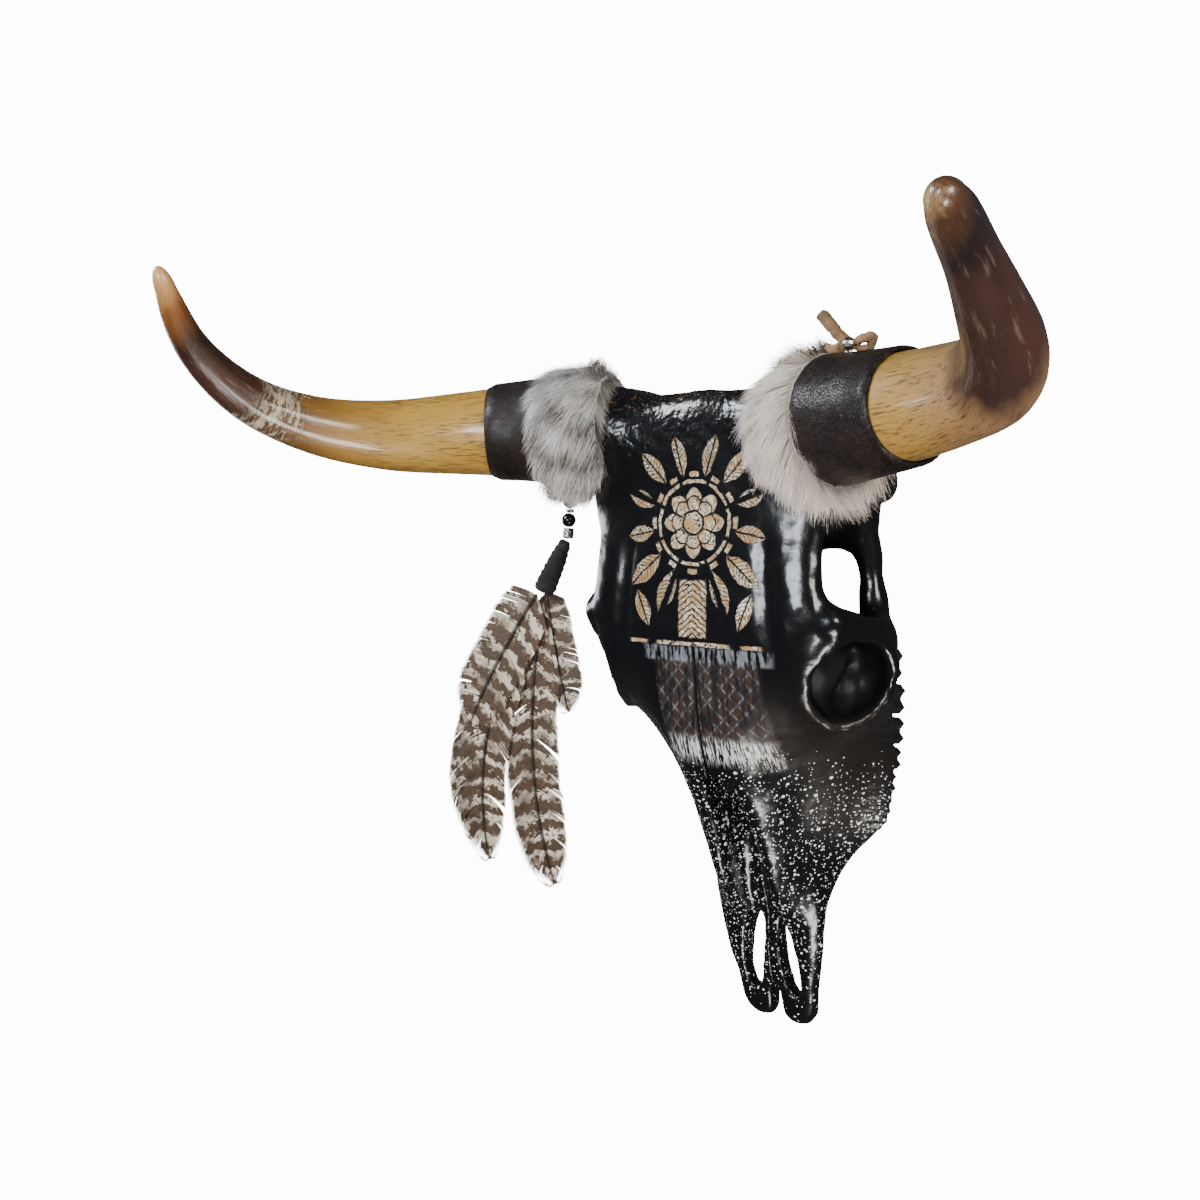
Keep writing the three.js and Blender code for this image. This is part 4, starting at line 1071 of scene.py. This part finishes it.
@dataclass
class Feather:
    """One barred feather: a shaft and the barbs on both sides of it."""

    name: str
    root: tuple
    bend: tuple
    tip: tuple
    left: float
    right: float
    lie: float
    root_width: float
    pale_shaft: bool = False
    barbs: int = 330
    thickness: float = 1.3
    segments: int = 6
    sweep: float = 0.085

    def axis(self, t: float) -> tuple:
        """Point and direction on the shaft line in plan, in millimetres."""
        a, b, c = Vector(self.root), Vector(self.bend), Vector(self.tip)
        point = a * (1 - t) ** 2 + b * (2 * t * (1 - t)) + c * t * t
        direction = ((b - a) * (1 - t) + (c - b) * t).normalized()
        return point, direction

    def width(self, t: float) -> float:
        """Share of the full half width."""
        grown = self.root_width + (1 - self.root_width) * smooth_step(t, 0.0, 0.3)
        return grown * math.sqrt(max(1 - max((t - 0.72) / 0.29, 0.0) ** 2, 0.02))

    def height(self, t: float, across: float, length: float) -> float:
        """Height of the vane's upper face, in millimetres."""
        rise = 3.2 * (1 - smooth_step(t * length, 0, 70))
        return self.lie + (1 - abs(across)) * 0.9 + rise + self.thickness

    def build(self, vane: bpy.types.Material, shaft: bpy.types.Material) -> bpy.types.Object:
        """Builds the feather.

        Args:
            vane: material of the barbs.
            shaft: material of the shaft.

        Returns:
            The feather as one mesh.
        """
        dice = random.Random(self.name)
        length = sum((self.axis((i + 1) / 20)[0] - self.axis(i / 20)[0]).length for i in range(20))
        form = bmesh.new()
        layer = form.verts.layers.float_vector.new("vane")
        for hand, half in ((-1, self.left), (1, self.right)):
            lean, trim, left_in_group = 0.0, 1.0, 0
            for i in range(self.barbs):
                if left_in_group <= 0:
                    left_in_group = dice.randint(6, 26)
                    lean = dice.choice((-0.010, 0.010)) if dice.random() < 0.10 else dice.uniform(-0.002, 0.002)
                    trim = dice.uniform(0.95, 1.02)
                left_in_group -= 1
                t = i / self.barbs
                chance = dice.random()
                lift = dice.uniform(-0.12, 0.12)
                rows = []
                for k in range(self.segments + 1):
                    s = k / self.segments
                    place = min(t + (self.sweep + lean) * s ** 1.4, 1.0)
                    point, direction = self.axis(place)
                    reach = self.width(place) * half * s * trim * (1 + dice.uniform(-0.006, 0.006))
                    cross = Vector((direction.y, -direction.x)) * hand
                    centre = point + cross * reach
                    thick = 0.5 * length / self.barbs * (1.5 if k < self.segments else 0.5)
                    ruffle = noise.noise(Vector((place * 9, hand * 3 + s, self.lie))) * 1.6 * s
                    z = self.height(place, s, length) + lift * s + max(ruffle + lean * 30 * s, -0.9)
                    pair = []
                    for way in (-1, 1):
                        spot = centre + direction * (thick * way)
                        vert = form.verts.new(placed(spot.x, spot.y, z + 0.05 * way))
                        vert[layer] = (place * length, s * hand, chance)
                        pair.append(vert)
                    rows.append(pair)
                for (a, b), (c, d) in zip(rows, rows[1:]):
                    form.faces.new((a, c, d, b) if hand < 0 else (a, b, d, c))
        self._shaft(form, layer, length)
        piece = from_bmesh(self.name, form)
        dressed(piece, "barred_feather", vane, shaft)
        return piece

    def _shaft(self, form: bmesh.types.BMesh, layer: object, length: float) -> None:
        """Adds the tapering shaft on top of the vane."""
        rings = 30
        ring = bmesh.ops.create_circle(form, segments=8, radius=1.0)["verts"]
        edges = list({e for v in ring for e in v.link_edges})
        verts = ring
        for i in range(rings + 1):
            if i:
                grown = bmesh.ops.extrude_edge_only(form, edges=edges)["geom"]
                verts = [g for g in grown if isinstance(g, bmesh.types.BMVert)]
                edges = [g for g in grown if isinstance(g, bmesh.types.BMEdge)]
                for face in (g for g in grown if isinstance(g, bmesh.types.BMFace)):
                    face.material_index = 1
            t = i / rings * 0.97
            point, direction = self.axis(t)
            radius = 1.5 * (1 - t) + 0.5
            cross = Vector((direction.y, -direction.x))
            z = self.height(t, 0, length) + 0.7
            for order, vert in enumerate(verts):
                angle = math.tau * order / len(verts)
                spot = point + cross * (math.cos(angle) * radius)
                vert.co = placed(spot.x, spot.y, z + math.sin(angle) * radius * 0.8)
                vert[layer] = (t * length, 0, 0.5)


@dataclass
class FeatherBundle:
    """Lace, beads, wrap and feathers that lie beside the skull."""

    lace_radius: float = 0.0015
    bead_radius: float = 7.0
    bead_x: float = -281.0
    beads_y: tuple = (("bead_upper", 133.0), ("bead_lower", 114.6))
    ring_height: float = 6.2
    wrap_pitch: float = 7.0

    def lace(self, material: bpy.types.Material) -> bpy.types.Object:
        """Returns the free lace as a round curve."""
        route = Route(np.array([placed(*p) for p in HANGER_POINTS]), 450)
        data = bpy.data.curves.new("hanger_lace_cord", "CURVE")
        data.dimensions = "3D"
        data.bevel_depth = self.lace_radius
        data.bevel_resolution = 3
        data.use_fill_caps = True
        spline = data.splines.new("POLY")
        dots = [route.at(route.length * i / 160)[0] for i in range(161)]
        spline.points.add(len(dots) - 1)
        for point, place in zip(spline.points, dots):
            point.co = (*place, 1.0)
        piece = dressed(linked(data.name, data), "tan_leather", material)
        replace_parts(piece, "hanger_lace")
        LOG.info("hanger lace: %.3f m", route.length)
        return piece

    def beads(self, stone: bpy.types.Material, silver: bpy.types.Material) -> None:
        """Builds the beads, the spacer and the barrel on the lace."""
        for name, y in self.beads_y:
            form = bmesh.new()
            bmesh.ops.create_uvsphere(form, u_segments=32, v_segments=20, radius=self.bead_radius * MM)
            bmesh.ops.translate(form, verts=form.verts, vec=placed(self.bead_x, y, self.bead_radius))
            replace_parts(dressed(from_bmesh(f"{name}_stone", form), "black_stone", stone), name)
        rings = {
            "bead_spacer": (123.8, [(0.6, -1.7), (3.4, -1.7), (4.4, 0), (3.4, 1.7), (0.6, 1.7)]),
            "silver_barrel": (101.8, [(0.8, -5), (4.2, -5), (5.0, -4.6), (5.6, -3.6), (5.0, -2.8), (5.5, -1.2),
                                      (5.5, 1.2), (5.0, 2.8), (5.6, 3.6), (5.0, 4.6), (4.2, 5), (0.8, 5)]),
        }
        for name, (y, profile) in rings.items():
            form = bmesh.new()
            verts = [form.verts.new((r * MM, h * MM, 0)) for r, h in profile]
            edges = [form.edges.new(pair) for pair in zip(verts, verts[1:] + verts[:1])]
            bmesh.ops.spin(form, geom=verts + edges, cent=(0, 0, 0), axis=(0, 1, 0), angle=math.tau, steps=28,
                           use_merge=True)
            bmesh.ops.translate(form, verts=form.verts, vec=placed(self.bead_x, y, self.ring_height))
            bmesh.ops.recalc_face_normals(form, faces=form.faces)
            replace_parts(dressed(from_bmesh(f"{name}_turned", form), "old_silver", silver), name)

    def wrap(self, material: bpy.types.Material) -> bpy.types.Object:
        """Returns the suede wrap with its spiral turns."""
        start, end = placed(-281.5, 94, 8.5), placed(-303, 43.5, 11.5)
        route = Route(np.array([start, start.lerp(end, 0.5), end]), 60)
        profile = ((0, 4.2), (0.8, 5.0), (4, 6.3), (20, 8.8), (36, 10.0), (50, 10.8), (54, 9.8), (54.9, 8.5))
        count = 120
        places, radii = zip(*profile)
        distances = [route.length * i / count for i in range(count + 1)]
        rings = [(d, float(np.interp(d * 1000, places, radii)) * MM) for d in distances]

        def ripple(distance: float, angle: float) -> float:
            """Edges of the wound lace."""
            turn = (distance * 1000 / self.wrap_pitch + angle / (math.tau)) % 1.0
            return (0.5 - turn) * 0.0011 + 0.0002 * noise.noise(Vector((angle, distance * 300, 0)))

        piece = Sweep(route, 36, Vector((0, 0, 1))).build("quill_wrap_suede", rings, ripple)
        dressed(piece, "black_leather", material)
        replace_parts(piece, "quill_wrap")
        return piece

    def feathers(self) -> None:
        """Builds the five feathers."""
        dark = Plain("dark_shaft", (0.018, 0.010, 0.007), 0.4).material()
        pale = Plain("pale_shaft", (0.55, 0.47, 0.36), 0.4).material()
        made = [
            Feather("feather_1_vane", (-316, 40), (-447, -106), (-383, -212), 22, 20, 0.4, 0.35),
            Feather("feather_2_vane", (-304, 43), (-292, -15), (-268, -72), 26, 22, 0.4, 0.8),
            Feather("feather_3_vane", (-306, 38), (-330, -121), (-268, -238), 33, 38, 3.1, 0.35),
            Feather("feather_4_vane", (-311, 38), (-402, -107), (-352, -228), 31, 37, 5.8, 0.35),
            Feather("feather_5_vane", (-310, 39), (-362, -25), (-390, -96), 34, 40, 8.5, 0.8, True),
        ]
        for order, feather in enumerate(made, 1):
            vane = BarredVane(f"barred_vane_{order}", 17.5 + order * 0.9, order * 6.0).material()
            piece = feather.build(vane, pale if feather.pale_shaft else dark)
            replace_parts(piece, f"feather_{order}")


@dataclass
class TieKnot:
    """Small lace knot with loops and a bead on top of the left collar."""

    frame: dict
    middle: tuple = (111.0, 208.0, 206.0)
    thin: float = 2.0
    bulge: float = 2.2

    def build(self, lace: bpy.types.Material, silver: bpy.types.Material) -> None:
        """Builds the loops and the ends, and dresses the bead.

        Args:
            lace: the tan leather.
            silver: the bead's silver.
        """
        runs = {
            "tie_lace_fold": [(3, 0, -5), (-5, 7, 1), (-12, 16, 5), (-17, 22, 5), (-14, 18, 1), (-6, 9, -2),
                              (4, 3, -5)],
            "tie_lace_end": [(6, 2, -4), (-3, 0, 2), (-9, -2, 4), (-13, 2, 3)],
            "tie_lace_bow": [(0, 0, 0), (8, 5, -2), (15, 7, -6), (12, 1, -8), (3, 0, -4)],
        }
        for order, (name, points) in enumerate(runs.items()):
            route = Route(np.array([placed(*(m + p for m, p in zip(self.middle, point))) for point in points]), 80)
            count = 40
            radii = [self.thin + self.bulge * math.sin(math.pi * i / count) - 0.4 * order for i in range(count + 1)]
            rings = [(route.length * i / count, radius * MM) for i, radius in enumerate(radii)]

            def ripple(distance: float, angle: float) -> float:
                """Rough suede edge."""
                return noise.noise(Vector((math.cos(angle) * 2, math.sin(angle) * 2, distance * 400))) * 0.0012

            piece = Sweep(route, 12).build(name, rings, ripple)
            dressed(piece, "tan_leather", lace)
            if not order:
                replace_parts(piece, "tie_lace")
        paint(self.frame["nodes"]["tie_bead"], silver)


# The surroundings


COOL, WARM = (0.90, 0.95, 1.0), (1.0, 0.96, 0.90)


@dataclass
class Studio:
    """Camera, white surface and lights."""

    lens: float = 37.17
    eye: tuple = (492.21, 15.935, 935.22)
    right: tuple = (0.786, 0.070, -0.615)
    back: tuple = (0.617, -0.019, 0.787)
    glow: float = 14.0
    sky: float = 0.07
    # Name, place, what it points at, width and height, watts, colour
    lamps: tuple = (
        ("poll", (-800, 700, 900), (0, 120, 200), (0.45, 0.4), 18.0, COOL),
        ("top", (110, 60, 1500), (60, 40, 150), (0.35, 0.5), 15.0, COOL),
        ("left", (-1300, 60, 90), (0, 0, 120), (0.22, 0.8), 4.5, COOL),
        ("front", (900, -1250, 650), (40, -60, 120), (0.6, 0.4), 24.0, WARM),
        ("right", (1300, 420, 700), (200, 120, 250), (0.4, 0.6), 17.0, WARM),
    )

    def camera(self) -> None:
        """Places the camera."""
        data = bpy.data.cameras.new("camera")
        data.lens = self.lens
        data.sensor_width = 36.0
        data.clip_end = 50.0
        back = Vector(self.back).normalized()
        up = back.cross(Vector(self.right)).normalized()
        right = up.cross(back)
        eye = placed(*self.eye)
        piece = linked("camera", data)
        piece.matrix_world = Matrix((
            (right.x, up.x, back.x, eye.x), (right.y, up.y, back.y, eye.y),
            (right.z, up.z, back.z, eye.z), (0, 0, 0, 1)))
        bpy.context.scene.camera = piece

    def surface(self) -> None:
        """Lays the white surface, which curves up far out."""
        form = bmesh.new()
        profile = [(0, 0), (4.5, 0), (5.2, 0.1), (5.8, 0.5), (6.2, 1.2), (6.4, 2.2), (6.5, 7.0)]
        verts = [form.verts.new((x, 0, z - 0.0005)) for x, z in profile]
        edges = [form.edges.new(pair) for pair in zip(verts, verts[1:])]
        bmesh.ops.spin(form, geom=verts + edges, cent=(0, 0, 0), axis=(0, 0, 1), angle=math.tau, steps=48,
                       use_merge=True)
        bmesh.ops.remove_doubles(form, verts=form.verts, dist=1e-5)
        floor = from_bmesh("white_surface", form)
        graph = Graph("white_surface")
        graph.end(graph.node("ShaderNodeEmission", {}, {"Color": (1, 1, 1, 1), "Strength": self.glow}))
        floor.data.materials.append(graph.material)
        floor.visible_diffuse = False
        floor.visible_glossy = False

    def light(self, name: str, place: tuple, aim: tuple, size: tuple, power: float, colour: tuple) -> None:
        """Adds one soft light.

        Args:
            name: the light's name.
            place: where it is, in the part's millimetres.
            aim: what it points at, in the part's millimetres.
            size: width and height in metres.
            power: watts.
            colour: its colour.
        """
        data = bpy.data.lights.new(name, "AREA")
        data.shape = "RECTANGLE"
        data.size, data.size_y = size
        data.energy = power
        data.color = colour
        piece = linked(name, data)
        piece.location = placed(*place)
        piece.rotation_mode = "QUATERNION"
        piece.rotation_quaternion = (placed(*aim) - piece.location).to_track_quat("-Z", "Y")

    def lights(self) -> None:
        """Adds the sky and the soft boxes."""
        world = bpy.data.worlds.new("studio")
        world.use_nodes = True
        sky = world.node_tree.nodes["Background"].inputs
        sky["Color"].default_value = (0.85, 0.9, 1.0, 1.0)
        sky["Strength"].default_value = self.sky
        bpy.context.scene.world = world
        for lamp in self.lamps:
            self.light(*lamp)

    def build(self) -> None:
        """Builds the surroundings."""
        self.camera()
        self.surface()
        self.lights()


def main(frame: dict) -> None:
    """Builds every piece in order.
    """
    Studio().build()
    bundle = FeatherBundle()
    tan = Leather("tan_lace", (0.34, 0.21, 0.10), (0.16, 0.095, 0.045), 0.65).material()
    silver = Plain("old_silver", (0.52, 0.50, 0.47), 0.25, 1.0, 0.3).material()
    stone = Plain("black_stone", (0.006, 0.006, 0.008), 0.06).material()
    bundle.lace(tan)
    bundle.beads(stone, silver)
    bundle.wrap(Leather("black_suede", (0.020, 0.020, 0.023), (0.006, 0.006, 0.007), 0.62, 1.2).material())
    bundle.feathers()

    skull = Skull(frame)
    skull.build()
    skull.teeth()

    brown = Leather("brown_sleeve", (0.013, 0.0065, 0.0048), (0.005, 0.0027, 0.0022), 0.32).material()
    honey, tanned, dark = (0.37, 0.195, 0.030), (0.26, 0.125, 0.022), (0.026, 0.011, 0.006)
    near = NaturalHorn((
        (0.0, honey), (0.30, (0.46, 0.26, 0.060)), (0.46, (0.40, 0.22, 0.095)), (0.56, (0.052, 0.022, 0.018)),
        (0.82, (0.016, 0.008, 0.008)), (0.91, (0.09, 0.040, 0.018)), (0.95, (0.50, 0.32, 0.14)),
        (0.985, (0.86, 0.70, 0.46)),
    ), "near_horn", lean=0.0031)
    far = NaturalHorn((
        (0.0, honey), (0.36, (0.44, 0.25, 0.045)), (0.60, tanned), (0.71, (0.055, 0.022, 0.010)), (0.86, dark),
        (0.925, (0.20, 0.070, 0.014)), (0.975, (0.56, 0.30, 0.11)),
    ), "far_horn", 0.665)
    left, right = Horn(Side.LEFT, near, 76.0, 0.30), Horn(Side.RIGHT, far, 87.0, 0.0)
    for horn in (left, right):
        horn.build()
        horn.sleeve(brown)
    cream = Hair("cream_hair", (1.0, 0.90, 0.80), (0.12, 0.085, 0.06), 0.20)
    grey = Hair("grey_hair", (0.86, 0.83, 0.80), (0.10, 0.082, 0.07), 0.38)
    FurCollar(frame, left, cream, "cream_fur", -0.42, 0.50, 0.10, length=(13.0, 25.0),
              dark_top=0.34).build()
    FurCollar(frame, right, grey, "grey_fur", 0.40, 0.50, 0.06, length=(9.0, 16.0)).build()
    TieKnot(frame).build(tan, silver)


if __name__ == "__main__":
    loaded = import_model()
    main(loaded)
